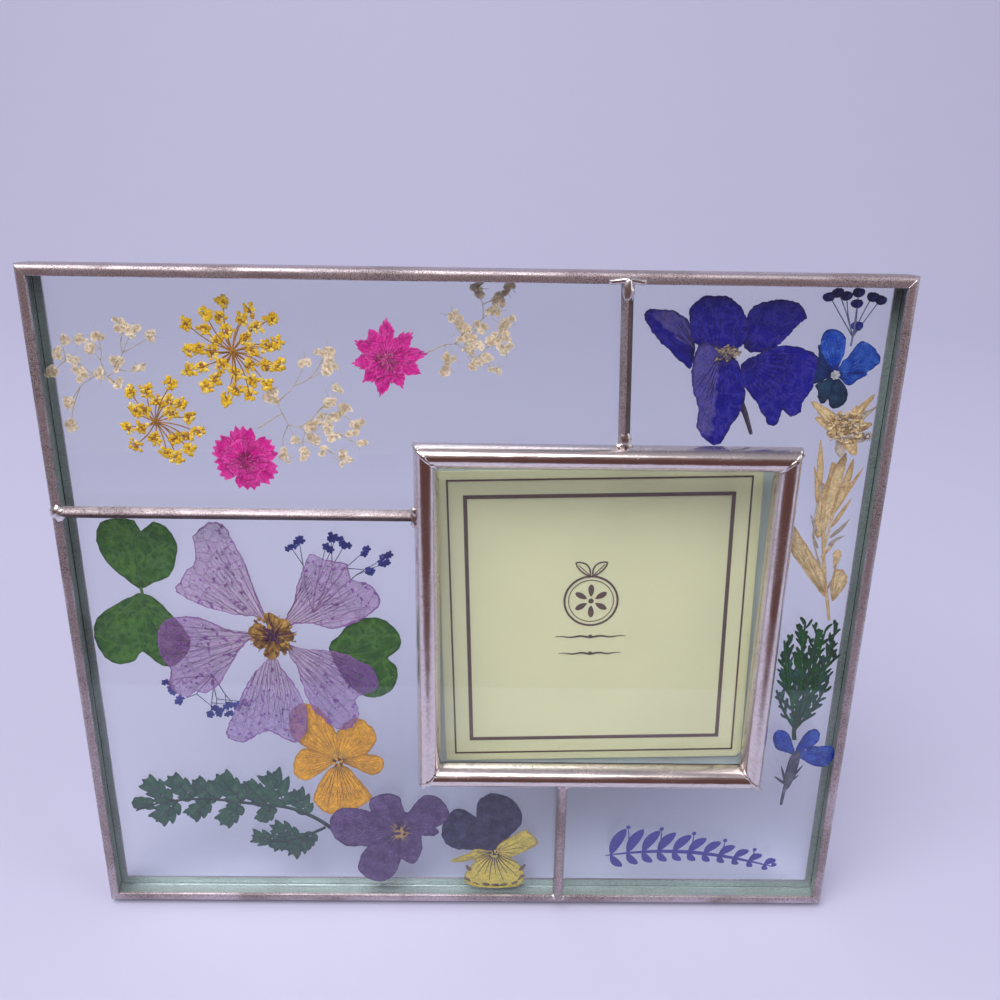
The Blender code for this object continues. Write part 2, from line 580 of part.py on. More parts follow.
def build_hinge_bracket(parent):
    """A plate on the board with two ears that carry the pin."""
    plate_front = BOARD_BACK + GAP - PIVOT_Y
    plate_back = plate_front + BRACKET_THICK
    plate = box_outline(plate_front, plate_back, -BRACKET_BELOW, BRACKET_ABOVE)
    mesh = side_plate("hinge_bracket", plate, -BRACKET_HALF_WIDTH, BRACKET_HALF_WIDTH)
    bracket = add_piece("hinge_bracket", mesh, "hinge_steel", parent)
    bracket.location = Vector((BEZEL_MIDDLE, PIVOT_Y, PIVOT_Z)) * MM

    ear = [(plate_back - BRACKET_THICK / 2, -KNUCKLE - 1)]
    ear += rounding((0, 0), KNUCKLE, -90, 90, 8)
    ear += [(plate_back - BRACKET_THICK / 2, KNUCKLE + 1)]
    for side, inner, outer in (
        ("left", -EAR_INNER - EAR_THICK, -EAR_INNER),
        ("right", EAR_INNER, EAR_INNER + EAR_THICK),
    ):
        helper = add_cutter("ear_" + side, side_plate("ear_" + side, ear, inner, outer), bracket)
        add_boolean(bracket, helper, "UNION")
    reach = BRACKET_HALF_WIDTH + 1
    bore = side_plate("bracket_bore", turned_outline(PIN + PIN_CLEARANCE), -reach, reach)
    add_boolean(bracket, add_cutter("bracket_bore", bore, bracket), "DIFFERENCE")


def build_hinge_pin(parent):
    """A plain pin with a flat head at each end, outside the ears."""
    head_inner = EAR_INNER + EAR_THICK + GAP
    head_outer = head_inner + PIN_HEAD_THICK
    stations = [
        (-head_outer, PIN_HEAD), (-head_inner, PIN_HEAD), (-head_inner, PIN),
        (head_inner, PIN), (head_inner, PIN_HEAD), (head_outer, PIN_HEAD),
    ]
    rings = [[(x, y, z) for y, z in turned_outline(radius)] for x, radius in stations]
    pin = add_piece("hinge_pin", mesh_between_rings("hinge_pin", rings, smooth=True), "hinge_steel", parent)
    pin.location = Vector((BEZEL_MIDDLE, PIVOT_Y, PIVOT_Z)) * MM


def build_easel_leg(parent, pivot_height):
    """A tapered leg on a round knuckle, its foot cut to lie flat on the floor when open."""
    tilt = math.radians(OPEN_DEG - LEAN_DEG)
    half = LEG_THICK / 2

    def foot_z(y):
        return (-pivot_height - y * math.sin(tilt)) / math.cos(tilt)

    rings = []
    for y in (-half, half):
        rings.append([
            (-LEG_HALF_TOP, y, 0), (-LEG_HALF_TOP, y, -LEG_SHOULDER), (-LEG_HALF_FOOT, y, foot_z(y)),
            (LEG_HALF_FOOT, y, foot_z(y)), (LEG_HALF_TOP, y, -LEG_SHOULDER), (LEG_HALF_TOP, y, 0),
        ])
    leg = add_piece("easel_leg", mesh_between_rings("easel_leg", rings), "backing_board", parent)
    leg.location = Vector((BEZEL_MIDDLE, PIVOT_Y, PIVOT_Z)) * MM
    leg.rotation_euler.x = math.radians(OPEN_DEG)

    edge = leg.modifiers.new("soft_edges", "BEVEL")
    edge.width = LEG_EDGE * MM
    edge.segments = 1
    edge.limit_method = "ANGLE"
    knuckle = side_plate("leg_knuckle", turned_outline(KNUCKLE), -LEG_HALF_TOP, LEG_HALF_TOP)
    add_boolean(leg, add_cutter("leg_knuckle", knuckle, leg), "UNION")
    reach = LEG_HALF_TOP + 1
    bore = side_plate("leg_bore", turned_outline(PIN + PIN_CLEARANCE), -reach, reach)
    add_boolean(leg, add_cutter("leg_bore", bore, leg), "DIFFERENCE")


def build_flowers(parent):
    for name, points, y, finish_name in PLATES:
        outline = smooth_outline(points, CURVE_STEPS)
        add_piece(name, plate_mesh(name, outline, y, PRESSED), finish_name, parent)
    for name, (centre, radius) in UMBELS.items():
        outline = lobed_outline(centre, radius, UMBEL_LOBES, 0.1, 3)
        add_piece(name, plate_mesh(name, outline, MIDDLE_LAYER, PRESSED), "yellow_umbel", parent)
    for name, (centre, radius) in PINK_FLOWERS.items():
        outline = lobed_outline(centre, radius, PINK_PETALS, 0.35, 4)
        add_piece(name, plate_mesh(name, outline, FRONT_LAYER, PRESSED), "magenta_petal", parent)
    outline = lobed_outline(*MALLOW_HEART, HEART_LOBES, 0.2, 5)
    add_piece("mallow_heart", plate_mesh("mallow_heart", outline, FRONT_LAYER, PRESSED), "dried_heart", parent)


def lowest_point_below(lean):
    """How far the leaning rim's section reaches below the frame's own origin."""
    return max(depth * math.sin(lean) - up * math.cos(lean) for up, depth in came_profile())


def stand_on_origin(root):
    """Slides the finished frame so that its bounding box is centred over the origin, seen from above."""
    bpy.context.view_layer.update()
    corners = []
    for piece in bpy.data.objects:
        if piece.type == "MESH" and not piece.hide_render:
            corners += [piece.matrix_world @ vertex.co for vertex in piece.data.vertices]
    for axis in (0, 1):
        reach = [corner[axis] for corner in corners]
        root.location[axis] -= (min(reach) + max(reach)) / 2


def main():
    clear_scene()
    lean = math.radians(LEAN_DEG)
    lift = lowest_point_below(lean)
    root = bpy.data.objects.new("leaning_frame", None)
    bpy.context.scene.collection.objects.link(root)
    root.rotation_euler.x = -lean
    root.location.z = lift * MM

    build_rim(root)
    build_glass(root)
    build_bezel(root)
    build_dividers(root)
    build_photo_card(root)
    build_backing(root)
    build_hinge_bracket(root)
    build_hinge_pin(root)
    pivot_height = PIVOT_Z * math.cos(lean) - PIVOT_Y * math.sin(lean) + lift
    build_easel_leg(root, pivot_height)
    build_flowers(root)
    stand_on_origin(root)


main()
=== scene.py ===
"""Looks of the pressed flower frame.

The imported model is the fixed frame. Finer pieces are built in the frame's own upright plane, in millimetres:
x to the right, y backwards from the front lip and z up from the bottom edge. TO_ROW leans them into place.
"""

import math
import random

import bmesh
import bpy
import numpy as np
from bpy.props import FloatProperty, FloatVectorProperty, PointerProperty
from mathutils import Matrix, Vector, noise
from mathutils.geometry import delaunay_2d_cdt


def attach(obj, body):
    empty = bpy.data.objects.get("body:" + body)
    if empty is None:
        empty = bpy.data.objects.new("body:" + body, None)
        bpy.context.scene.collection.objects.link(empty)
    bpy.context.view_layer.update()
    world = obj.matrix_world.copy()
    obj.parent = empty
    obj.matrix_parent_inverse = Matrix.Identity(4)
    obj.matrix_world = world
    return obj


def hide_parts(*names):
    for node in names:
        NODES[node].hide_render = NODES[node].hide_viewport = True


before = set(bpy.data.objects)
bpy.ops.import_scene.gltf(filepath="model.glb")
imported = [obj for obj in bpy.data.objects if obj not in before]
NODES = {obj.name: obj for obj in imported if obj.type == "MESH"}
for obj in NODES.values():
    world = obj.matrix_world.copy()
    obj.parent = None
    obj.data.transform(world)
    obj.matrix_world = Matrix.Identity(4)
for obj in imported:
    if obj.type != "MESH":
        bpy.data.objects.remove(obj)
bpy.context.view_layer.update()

bl_info = {
    "name": "Pressed Flower Frame",
    "version": (1, 0, 0),
    "blender": (4, 5, 0),
    "location": "3D View > Sidebar > Pressed Frame",
    "description": "Builds the finer looks of a glass frame of pressed flowers around its CAD model",
    "category": "Object",
}

MM = 0.001
RIMS = ("rim_bottom", "rim_right", "rim_top", "rim_left")
BEZELS = ("bezel_bottom", "bezel_right", "bezel_top", "bezel_left")

# Came and bezel sections, as in the solids
RIM_DEPTH = 7.1
RIM_LIP = 2.0
RIM_WALL = 0.6
RIM_ROUND = 1.0
BAR_BACK = 0.6
BEZEL_WIDTH = 4.6
BEZEL_RISE = 3.4
DIVIDER_WIDTH = 2.1
DIVIDER_RISE = 1.7

# The hinge plate behind the board, and the line pressed round the leg as shares of its height
HINGE_GAP = 0.3
HINGE_PLATE = 0.8
LEG_LINE_LOW = 0.06
LEG_LINE_HIGH = 0.93

# Depths of the three layers of flowers, at the middle of each
FRONT = 3.05
MIDDLE = 3.55
BACK = 4.05

# Depths of the small parts that crowd a flower's throat, and the angle from each to the next
HEART_FRONT = 3.02
TUFT_DEPTH = 2.88
THROAT_DEPTH = 3.42
CROWD_TURN = 2.4


def upright_frame():
    """The matrix from the upright plane's millimetres to the row frame, and the frame's width and height."""
    glass = NODES["front_glass"].data
    broad = max(glass.polygons, key=lambda face: face.area)
    back = (broad.normal if broad.normal.y > 0 else -broad.normal).normalized()
    right = Vector((1.0, 0.0, 0.0))
    up = right.cross(back)
    turn = Matrix((right, back, up)).transposed()
    rims = [turn.transposed() @ v.co for name in RIMS for v in NODES[name].data.vertices]
    low = [min(p[i] for p in rims) for i in range(3)]
    high = [max(p[i] for p in rims) for i in range(3)]
    corner = Matrix.Translation(((low[0] + high[0]) / 2, low[1], low[2]))
    to_row = turn.to_4x4() @ corner @ Matrix.Scale(MM, 4)
    return to_row, (high[0] - low[0]) / MM, (high[2] - low[2]) / MM


TO_ROW, WIDTH, HEIGHT = upright_frame()
TO_PLANE = TO_ROW.inverted()


def plane_box(node):
    """Lowest and highest corner of a CAD node in the upright plane."""
    points = [TO_PLANE @ v.co for v in NODES[node].data.vertices]
    return (
        Vector([min(p[i] for p in points) for i in range(3)]),
        Vector([max(p[i] for p in points) for i in range(3)]),
    )


def plate_outline(node):
    """The outline (x, z) of a flat plate's front face, in order."""
    mesh = NODES[node].data
    points = [TO_PLANE @ v.co for v in mesh.vertices]
    front = min(p.y for p in points) + 0.02
    keys = [(round(p.x, 2), round(p.z, 2)) for p in points]
    uses = {}
    for face in mesh.polygons:
        if all(points[i].y < front for i in face.vertices):
            ring = [keys[i] for i in face.vertices]
            for a, b in zip(ring, ring[1:] + ring[:1]):
                edge = frozenset((a, b))
                uses[edge] = uses.get(edge, 0) + 1
    follow = {}
    for edge, count in uses.items():
        if count == 1 and len(edge) == 2:
            a, b = edge
            follow.setdefault(a, []).append(b)
            follow.setdefault(b, []).append(a)
    start = min(follow)
    out, before, here = [start], None, start
    while True:
        options = [k for k in follow[here] if k != before]
        if not options or options[0] == start or len(out) > len(follow):
            return out
        before, here = here, options[0]
        out.append(here)


# ---------------------------------------------------------------- properties


def srgb(red, green, blue):
    """A screen colour, 0 to 255, as linear light."""
    out = []
    for value in (red, green, blue):
        share = value / 255
        out.append(share / 12.92 if share <= 0.04045 else ((share + 0.055) / 1.055) ** 2.4)
    return tuple(out)


def colour(name, default, description):
    return FloatVectorProperty(
        name=name, description=description, default=srgb(*default), min=0, max=1, size=3, subtype="COLOR"
    )


class PressedMetal(bpy.types.PropertyGroup):
    """Finishes of the metal, glass, card and board"""

    came_light: colour("Came, light", (222, 210, 214), "The came's bright tin")
    came_dark: colour("Came, dark", (120, 106, 106), "The came's grey grain")
    channel: colour("Channel inside", (196, 208, 202), "The inside of the came, seen through the glass")
    bezel: colour("Bezel", (234, 226, 224), "The polished bars round the photo")
    bezel_warm: colour("Bezel, warm", (168, 120, 104), "The copper showing through the plating")
    glass: colour("Glass", (246, 248, 249), "The two panes")
    card: colour("Card", (253, 244, 190), "The printed insert")
    card_line: colour("Card lines", (92, 50, 8), "The lines printed on the insert")
    ink: colour("Ink", (58, 54, 160), "The sprig printed on the glass")
    board: colour("Board", (30, 30, 34), "The backing board and the leg")
    steel: colour("Hinge steel", (190, 186, 182), "The hinge's plate and pin")
    grain: FloatProperty(name="Grain", description="Size of the came's grain", default=0.00022,
                         subtype="DISTANCE")


class PressedFlowers(bpy.types.PropertyGroup):
    """Colours of the flowers and leaves"""

    mallow_vein: colour("Mallow veins", (92, 40, 98), "The veins in the mallow's petals")
    heart_leaf: colour("Heart leaves", (52, 100, 22), "The three leaves behind the mallow")
    ultramarine: colour("Larkspur", (3, 4, 128), "The large larkspur's petals")
    faded_blue: colour("Larkspur, faded", (98, 88, 140), "Where the larkspur has faded")
    cobalt: colour("Small larkspur", (4, 60, 166), "The small larkspur's petals")
    lobelia: colour("Lobelia", (4, 40, 150), "The lobelia's petals")
    golden: colour("Golden viola", (236, 168, 34), "The golden viola's petals")
    plum: colour("Plum viola", (74, 50, 102), "The plum viola's petals")
    navy: colour("Navy viola", (18, 14, 58), "The navy viola's upper petals")
    lemon: colour("Lemon petals", (208, 186, 84), "The navy viola's lower petals")
    parsley: colour("Parsley leaf", (36, 86, 62), "The grey-green leaf")
    fern: colour("Fern", (8, 84, 20), "The fern's tips")
    fern_low: colour("Fern, low", (34, 96, 76), "The fern's lower part")
    straw: colour("Straw", (232, 204, 156), "The straw-coloured flower, stem and leaves")
    umbel: colour("Umbels", (246, 200, 44), "The small heads of the umbels")
    umbel_stalk: colour("Umbel stalks", (172, 118, 52), "The rays of the umbels")
    magenta: colour("Pink flowers", (204, 16, 132), "The pink flowers")
    cream: colour("Baby's breath", (222, 194, 164), "The cream blossoms")
    floret: colour("Blue florets", (52, 62, 156), "The tiny blue flowers")


class PressedStage(bpy.types.PropertyGroup):
    """The floor, the glowing card that paints a dark reflection into the metal, the lights and the lens"""

    # A glowing brown card, no lamp, seen only in reflections: a painted dark reflection in the polished bars,
    # the came and the glass.
    flag: colour("Glowing reflection card", (92, 60, 54), "The plain brown card that the polished bars reflect")
    floor: colour("Floor", (208, 207, 230), "The pale floor and backdrop")
    world: colour("Soft light", (222, 220, 232), "The light from all round")
    world_strength: FloatProperty(name="Soft light strength", description="Brightness of the light all round",
                                  default=0.42)
    key_power: FloatProperty(name="Key light", description="Power of the large soft light above",
                             default=0.95, subtype="POWER")
    fill_power: FloatProperty(name="Fill light", description="Power of the soft light on the right",
                              default=0.7, subtype="POWER")
    lens: FloatProperty(name="Lens", description="Focal length on a 36 mm sensor", default=31.43,
                        subtype="DISTANCE_CAMERA")


# ---------------------------------------------------------------- material tools


class Tree:
    """Adds nodes to one node tree and links whatever sockets are handed to them."""

    def __init__(self, tree):
        self.tree = tree

    def node(self, kind, inputs=None, **settings):
        made = self.tree.nodes.new(kind)
        for key, value in settings.items():
            setattr(made, key, value)
        for key, value in (inputs or {}).items():
            self.feed(made.inputs[key], value)
        return made

    def feed(self, socket, value):
        if isinstance(value, bpy.types.NodeSocket):
            self.tree.links.new(value, socket)
        elif socket.type == "RGBA" and len(value) == 3:
            socket.default_value = (*value, 1.0)
        else:
            socket.default_value = value

    def math(self, operation, first, second=0.0, clamp=False):
        made = self.node("ShaderNodeMath", {0: first, 1: second}, operation=operation, use_clamp=clamp)
        return made.outputs[0]

    def plus(self, first, second):
        return self.math("ADD", first, second)

    def times(self, first, second, clamp=False):
        return self.math("MULTIPLY", first, second, clamp)

    def madd(self, first, second, third):
        inputs = {0: first, 1: second, 2: third}
        return self.node("ShaderNodeMath", inputs, operation="MULTIPLY_ADD").outputs[0]

    def mix(self, share, first, second, blend="MIX"):
        made = self.node("ShaderNodeMix", {0: share, 6: first, 7: second}, data_type="RGBA", blend_type=blend)
        return made.outputs[2]

    def ramp(self, value, low, high, start=0.0, end=1.0):
        """Value from low to high as a smooth step from start to end."""
        inputs = {"Value": value, "From Min": low, "From Max": high, "To Min": start, "To Max": end}
        return self.node("ShaderNodeMapRange", inputs, interpolation_type="SMOOTHSTEP").outputs[0]

    def noise(self, place, scale, detail=2.0, roughness=0.5):
        inputs = {"Vector": place, "Scale": scale, "Detail": detail, "Roughness": roughness}
        return self.node("ShaderNodeTexNoise", inputs).outputs[0]

    def vector(self, x, y, z=0.0):
        return self.node("ShaderNodeCombineXYZ", {0: x, 1: y, 2: z}).outputs[0]


def effect(name, inputs, outputs, fill):
    """A shader node group with named sockets, made the first time it is asked for."""
    found = bpy.data.node_groups.get(name)
    if found is not None:
        return found
    made = bpy.data.node_groups.new(name, "ShaderNodeTree")
    for label, kind in inputs.items():
        made.interface.new_socket(label, in_out="INPUT", socket_type=kind)
    for label, kind in outputs.items():
        made.interface.new_socket(label, in_out="OUTPUT", socket_type=kind)
    start = made.nodes.new("NodeGroupInput")
    end = made.nodes.new("NodeGroupOutput")
    fill(Tree(made), start.outputs, end.inputs)
    return made


# Scales of the noises, per metre
CAME_PATCHES = 90.0
PETAL_WAVER, PETAL_MOTTLE, PETAL_FINE = 260.0, 520.0, 2600.0
PETAL_NET, PETAL_SPOTS, PETAL_FOLDS = 420.0, 1150.0, 330.0
COVER_WEAR = 70.0
PAPER_FIBRE, PAPER_CLOUD = 1800.0, 45.0

# How deep each finish is, in metres
CAME_DEEP = 0.00004
PETAL_DEEP = 0.00025
PAPER_DEEP = 0.00005
COVER_DEEP = 0.0001

NUMBER = "NodeSocketFloat"
COLOUR = "NodeSocketColor"
VECTOR = "NodeSocketVector"


def grained_metal_effect():
    def fill(tree, given, made):
        fine = tree.noise(given["Place"], given["Grain Scale"], 3.0, 0.65)
        broad = tree.noise(given["Place"], CAME_PATCHES, 3.0)
        speck = tree.ramp(fine, 0.4, 0.66)
        patch = tree.ramp(broad, 0.35, 0.7)
        share = tree.times(tree.plus(speck, tree.times(patch, 0.6)), given["Wear"])
        tree.feed(made["Color"], tree.mix(share, given["Light"], given["Dark"]))
        rough = tree.madd(tree.plus(fine, tree.times(patch, 0.4)), given["Wear"], given["Polish"])
        tree.feed(made["Roughness"], rough)
        tree.feed(made["Height"], tree.plus(fine, tree.times(broad, 0.4)))

    inputs = {
        "Place": VECTOR, "Light": COLOUR, "Dark": COLOUR, "Grain Scale": NUMBER, "Wear": NUMBER,
        "Polish": NUMBER,
    }
    return effect("grained metal", inputs, {"Color": COLOUR, "Roughness": NUMBER, "Height": NUMBER}, fill)


def petal_effect():
    """Base to tip shading, branching veins, flecks, creases with a painted shade and highlight along their
    folds, a dry rim, a faded side and thin flesh.
    """

    def fill(tree, given, made):
        split = tree.node("ShaderNodeSeparateXYZ", {0: given["Grain"]}).outputs
        across, along, edge = split[0], split[1], split[2]
        waver = tree.math("SUBTRACT", tree.noise(given["Place"], PETAL_WAVER, 3.0), 0.5)
        fine = tree.noise(given["Place"], PETAL_FINE, 3.0, 0.6)
        mottle = tree.noise(given["Place"], PETAL_MOTTLE, 3.0, 0.6)

        heart = tree.ramp(tree.plus(along, tree.times(waver, 0.25)), 0.02, given["Heart Reach"], 1.0, 0.0)
        shade = tree.mix(heart, given["Body"], given["Heart"])
        side = tree.plus(tree.times(across, given["Fade Side"]), tree.times(waver, 2.2))
        bounded = tree.times(tree.ramp(side, 0.0, 0.22), tree.ramp(along, 0.97, 0.82))
        shade = tree.mix(tree.times(bounded, given["Fade"]), shade, given["Faded"])
        tone = tree.ramp(mottle, 0.32, 0.7)
        shade = tree.mix(tree.times(tone, given["Mottle"]), shade, given["Fleck"])
        rim = tree.times(tree.ramp(tree.plus(edge, waver), 0.0, given["Rim Width"], 1.0, 0.0), 0.8)
        shade = tree.mix(rim, shade, given["Rim"])

        main = tree.madd(across, given["Veins"], 0.25)
        main = tree.plus(main, tree.times(waver, 1.1))
        stripe = tree.ramp(tree.math("PINGPONG", main, 0.5), 0.0, given["Vein Width"], 1.0, 0.0)
        stripe = tree.times(stripe, tree.ramp(along, 0.25, 1.05, 1.0, 0.35))
        net = tree.node(
            "ShaderNodeTexVoronoi", {"Vector": given["Place"], "Scale": PETAL_NET, "Randomness": 1.0},
            feature="DISTANCE_TO_EDGE"
        ).outputs["Distance"]
        branch = tree.times(tree.ramp(net, 0.0, 0.075, 0.6, 0.0), tree.ramp(along, 0.3, 0.65))
        vein = tree.times(tree.math("MAXIMUM", stripe, branch), given["Vein Strength"], clamp=True)
        shade = tree.mix(vein, shade, given["Vein"])

        spot = tree.plus(tree.noise(given["Place"], PETAL_SPOTS, 2.0), tree.times(mottle, 0.35))
        limit = tree.madd(given["Flecks"], -0.5, 1.0)
        mark = tree.ramp(spot, limit, tree.plus(limit, 0.07))
        shade = tree.mix(tree.times(mark, 0.7), shade, given["Fleck"])
        # Fold lines are tinted towards the faded tone and brightened: fading along the folds, with a painted
        # shade and highlight of their relief.
        fold = tree.math("ABSOLUTE", tree.madd(tree.noise(given["Place"], PETAL_FOLDS, 4.0, 0.62), 2.0, -1.0))
        crease_shading = tree.ramp(fold, 0.0, 0.16, 1.0, 0.0)
        shade = tree.mix(tree.times(crease_shading, given["Creases"]), shade, given["Faded"])
        grain = tree.madd(tree.plus(fine, tree.times(crease_shading, given["Creases"])), 1.3, 0.36)
        tree.feed(made["Color"], tree.mix(1.0, shade, tree.vector(grain, grain, grain), "MULTIPLY"))
        height = tree.plus(tree.times(fine, 0.4), tree.times(mottle, 0.8))
        height = tree.madd(fold, tree.plus(given["Creases"], 0.4), height)
        tree.feed(made["Height"], tree.math("SUBTRACT", height, tree.times(vein, 0.6)))
        cover = tree.math("MAXIMUM", tree.math("MAXIMUM", vein, rim), tree.times(mark, 0.8))
        tree.feed(made["Alpha"], tree.ramp(cover, 0.0, 1.0, given["Alpha"], 1.0))

    inputs = {
        "Grain": VECTOR, "Place": VECTOR, "Heart": COLOUR, "Body": COLOUR, "Rim": COLOUR, "Vein": COLOUR,
        "Fleck": COLOUR, "Faded": COLOUR, "Heart Reach": NUMBER, "Rim Width": NUMBER, "Veins": NUMBER,
        "Vein Width": NUMBER, "Vein Strength": NUMBER, "Flecks": NUMBER, "Mottle": NUMBER, "Fade": NUMBER,
        "Fade Side": NUMBER, "Creases": NUMBER, "Alpha": NUMBER,
    }
    return effect("pressed petal", inputs, {"Color": COLOUR, "Height": NUMBER, "Alpha": NUMBER}, fill)


def leatherette_effect():
    def fill(tree, given, made):
        cells = tree.node(
            "ShaderNodeTexVoronoi", {"Vector": given["Place"], "Scale": given["Scale"]},
            feature="DISTANCE_TO_EDGE"
        ).outputs["Distance"]
        pebble = tree.ramp(cells, 0.0, 0.22)
        wear = tree.noise(given["Place"], COVER_WEAR, 4.0)
        shade = tree.mix(tree.times(pebble, tree.ramp(wear, 0.35, 0.75)), given["Base"], given["Worn"])
        tree.feed(made["Color"], shade)
        tree.feed(made["Roughness"], tree.ramp(wear, 0.2, 0.8, 0.62, 0.5))
        tree.feed(made["Height"], pebble)

    inputs = {"Place": VECTOR, "Base": COLOUR, "Worn": COLOUR, "Scale": NUMBER}
    return effect("leatherette", inputs, {"Color": COLOUR, "Roughness": NUMBER, "Height": NUMBER}, fill)


def paper_effect():
    def fill(tree, given, made):
        fibre = tree.noise(given["Place"], PAPER_FIBRE, 4.0, 0.7)
        cloud = tree.noise(given["Place"], PAPER_CLOUD, 2.0)
        shade = tree.mix(tree.ramp(cloud, 0.35, 0.7, 0.0, given["Tone"]), given["Base"], given["Aged"])
        shade = tree.mix(tree.ramp(fibre, 0.5, 0.75, 0.0, given["Tone"]), shade, given["Aged"])
        tree.feed(made["Color"], shade)
        tree.feed(made["Height"], fibre)

    inputs = {"Place": VECTOR, "Base": COLOUR, "Aged": COLOUR, "Tone": NUMBER}
    return effect("paper", inputs, {"Color": COLOUR, "Height": NUMBER}, fill)


def new_material(name):
    """An empty node material and its tree, or None for the tree if it is there already."""
    found = bpy.data.materials.get(name)
    if found is not None:
        return found, None
    made = bpy.data.materials.new(name)
    made.use_nodes = True
    made.node_tree.nodes.clear()
    return made, Tree(made.node_tree)


def finish_material(tree, shader_inputs, height=None, bump=0.1, bump_distance=COVER_DEEP):
    """A Principled shader with the given inputs, and a bump where there is a height."""
    shader = tree.node("ShaderNodeBsdfPrincipled", shader_inputs)
    if height is not None:
        inputs = {"Strength": bump, "Distance": bump_distance, "Height": height}
        tree.feed(shader.inputs["Normal"], tree.node("ShaderNodeBump", inputs).outputs[0])
    output = tree.node("ShaderNodeOutputMaterial")
    tree.feed(output.inputs["Surface"], shader.outputs[0])
    return shader, output


def place_of(tree):
    return tree.node("ShaderNodeTexCoord").outputs["Object"]


def grained_metal(name, light, dark, wear, polish, scale, bump=0.25):
    made, tree = new_material(name)
    if tree:
        inputs = {
            "Place": place_of(tree), "Light": light, "Dark": dark, "Grain Scale": scale, "Wear": wear,
            "Polish": polish,
        }
        group = tree.node("ShaderNodeGroup", inputs, node_tree=grained_metal_effect()).outputs
        settings = {"Base Color": group["Color"], "Roughness": group["Roughness"], "Metallic": 1.0}
        finish_material(tree, settings, group["Height"], bump, CAME_DEEP)
    return made


def dark_of(shade, share):
    return tuple(value * share for value in shade)


def pressed(name, body, heart=None, rim=None, vein=None, fleck=None, faded=None, reach=0.3, rim_width=0.5,
            veins=6.0,
            vein_width=0.06, strength=0.5, flecks=0.3, mottle=0.25, fade=0.0, side=-1.0, alpha=1.0, bump=0.35,
            roughness=0.62, creases=0.12):
    """A dried petal or leaf; colours that aren't given are darker tones of its body."""
    made, tree = new_material(name)
    if tree:
        body = tuple(body)
        grain = tree.node("ShaderNodeAttribute", attribute_name="grain").outputs["Vector"]
        inputs = {
            "Grain": grain, "Place": place_of(tree), "Body": body, "Heart": heart or dark_of(body, 0.7),
            "Rim": rim or dark_of(body, 0.55), "Vein": vein or dark_of(body, 0.45),
            "Fleck": fleck or dark_of(body, 0.5), "Faded": faded or body, "Heart Reach": reach,
            "Rim Width": rim_width, "Veins": veins, "Vein Width": vein_width, "Vein Strength": strength,
            "Flecks": flecks, "Mottle": mottle, "Fade": fade, "Fade Side": side, "Creases": creases,
            "Alpha": alpha,
        }
        group = tree.node("ShaderNodeGroup", inputs, node_tree=petal_effect()).outputs
        settings = {
            "Base Color": group["Color"], "Roughness": roughness, "Specular IOR Level": 0.1,
            "Alpha": group["Alpha"] if alpha < 1 else 1.0,
        }
        finish_material(tree, settings, group["Height"], bump, PETAL_DEEP)
    return made


def glass_material(name, tint):
    """Clear glass with a faint green-blue depth. Lamps shine straight through it."""
    made, tree = new_material(name)
    if tree:
        settings = {
            "Base Color": tuple(tint), "Roughness": 0.0, "IOR": 1.5, "Transmission Weight": 1.0,
            "Metallic": 0.0,
        }
        shader, output = finish_material(tree, settings)
        clear = tree.node("ShaderNodeBsdfTransparent", {"Color": tuple(tint)})
        path = tree.node("ShaderNodeLightPath")
        mixed = tree.node("ShaderNodeMixShader",
                          {0: path.outputs["Is Shadow Ray"], 1: shader.outputs[0], 2: clear.outputs[0]})
        tree.feed(output.inputs["Surface"], mixed.outputs[0])
        depth = tree.node("ShaderNodeVolumeAbsorption", {"Color": srgb(150, 200, 205), "Density": 5.0})
        tree.feed(output.inputs["Volume"], depth.outputs[0])
    return made


def paper_material(name, base, aged, tone=0.2, roughness=0.6, bump=0.1):
    made, tree = new_material(name)
    if tree:
        inputs = {"Place": place_of(tree), "Base": tuple(base), "Aged": aged, "Tone": tone}
        group = tree.node("ShaderNodeGroup", inputs, node_tree=paper_effect()).outputs
        settings = {"Base Color": group["Color"], "Roughness": roughness}
        finish_material(tree, settings, group["Height"], bump, PAPER_DEEP)
    return made


def leatherette_material(name, base, worn, scale=900.0):
    made, tree = new_material(name)
    if tree:
        inputs = {"Place": place_of(tree), "Base": tuple(base), "Worn": worn, "Scale": scale}
        group = tree.node("ShaderNodeGroup", inputs, node_tree=leatherette_effect()).outputs
        settings = {"Base Color": group["Color"], "Roughness": group["Roughness"]}
        finish_material(tree, settings, group["Height"], 0.5, COVER_DEEP)
    return made


# ---------------------------------------------------------------- shape tools


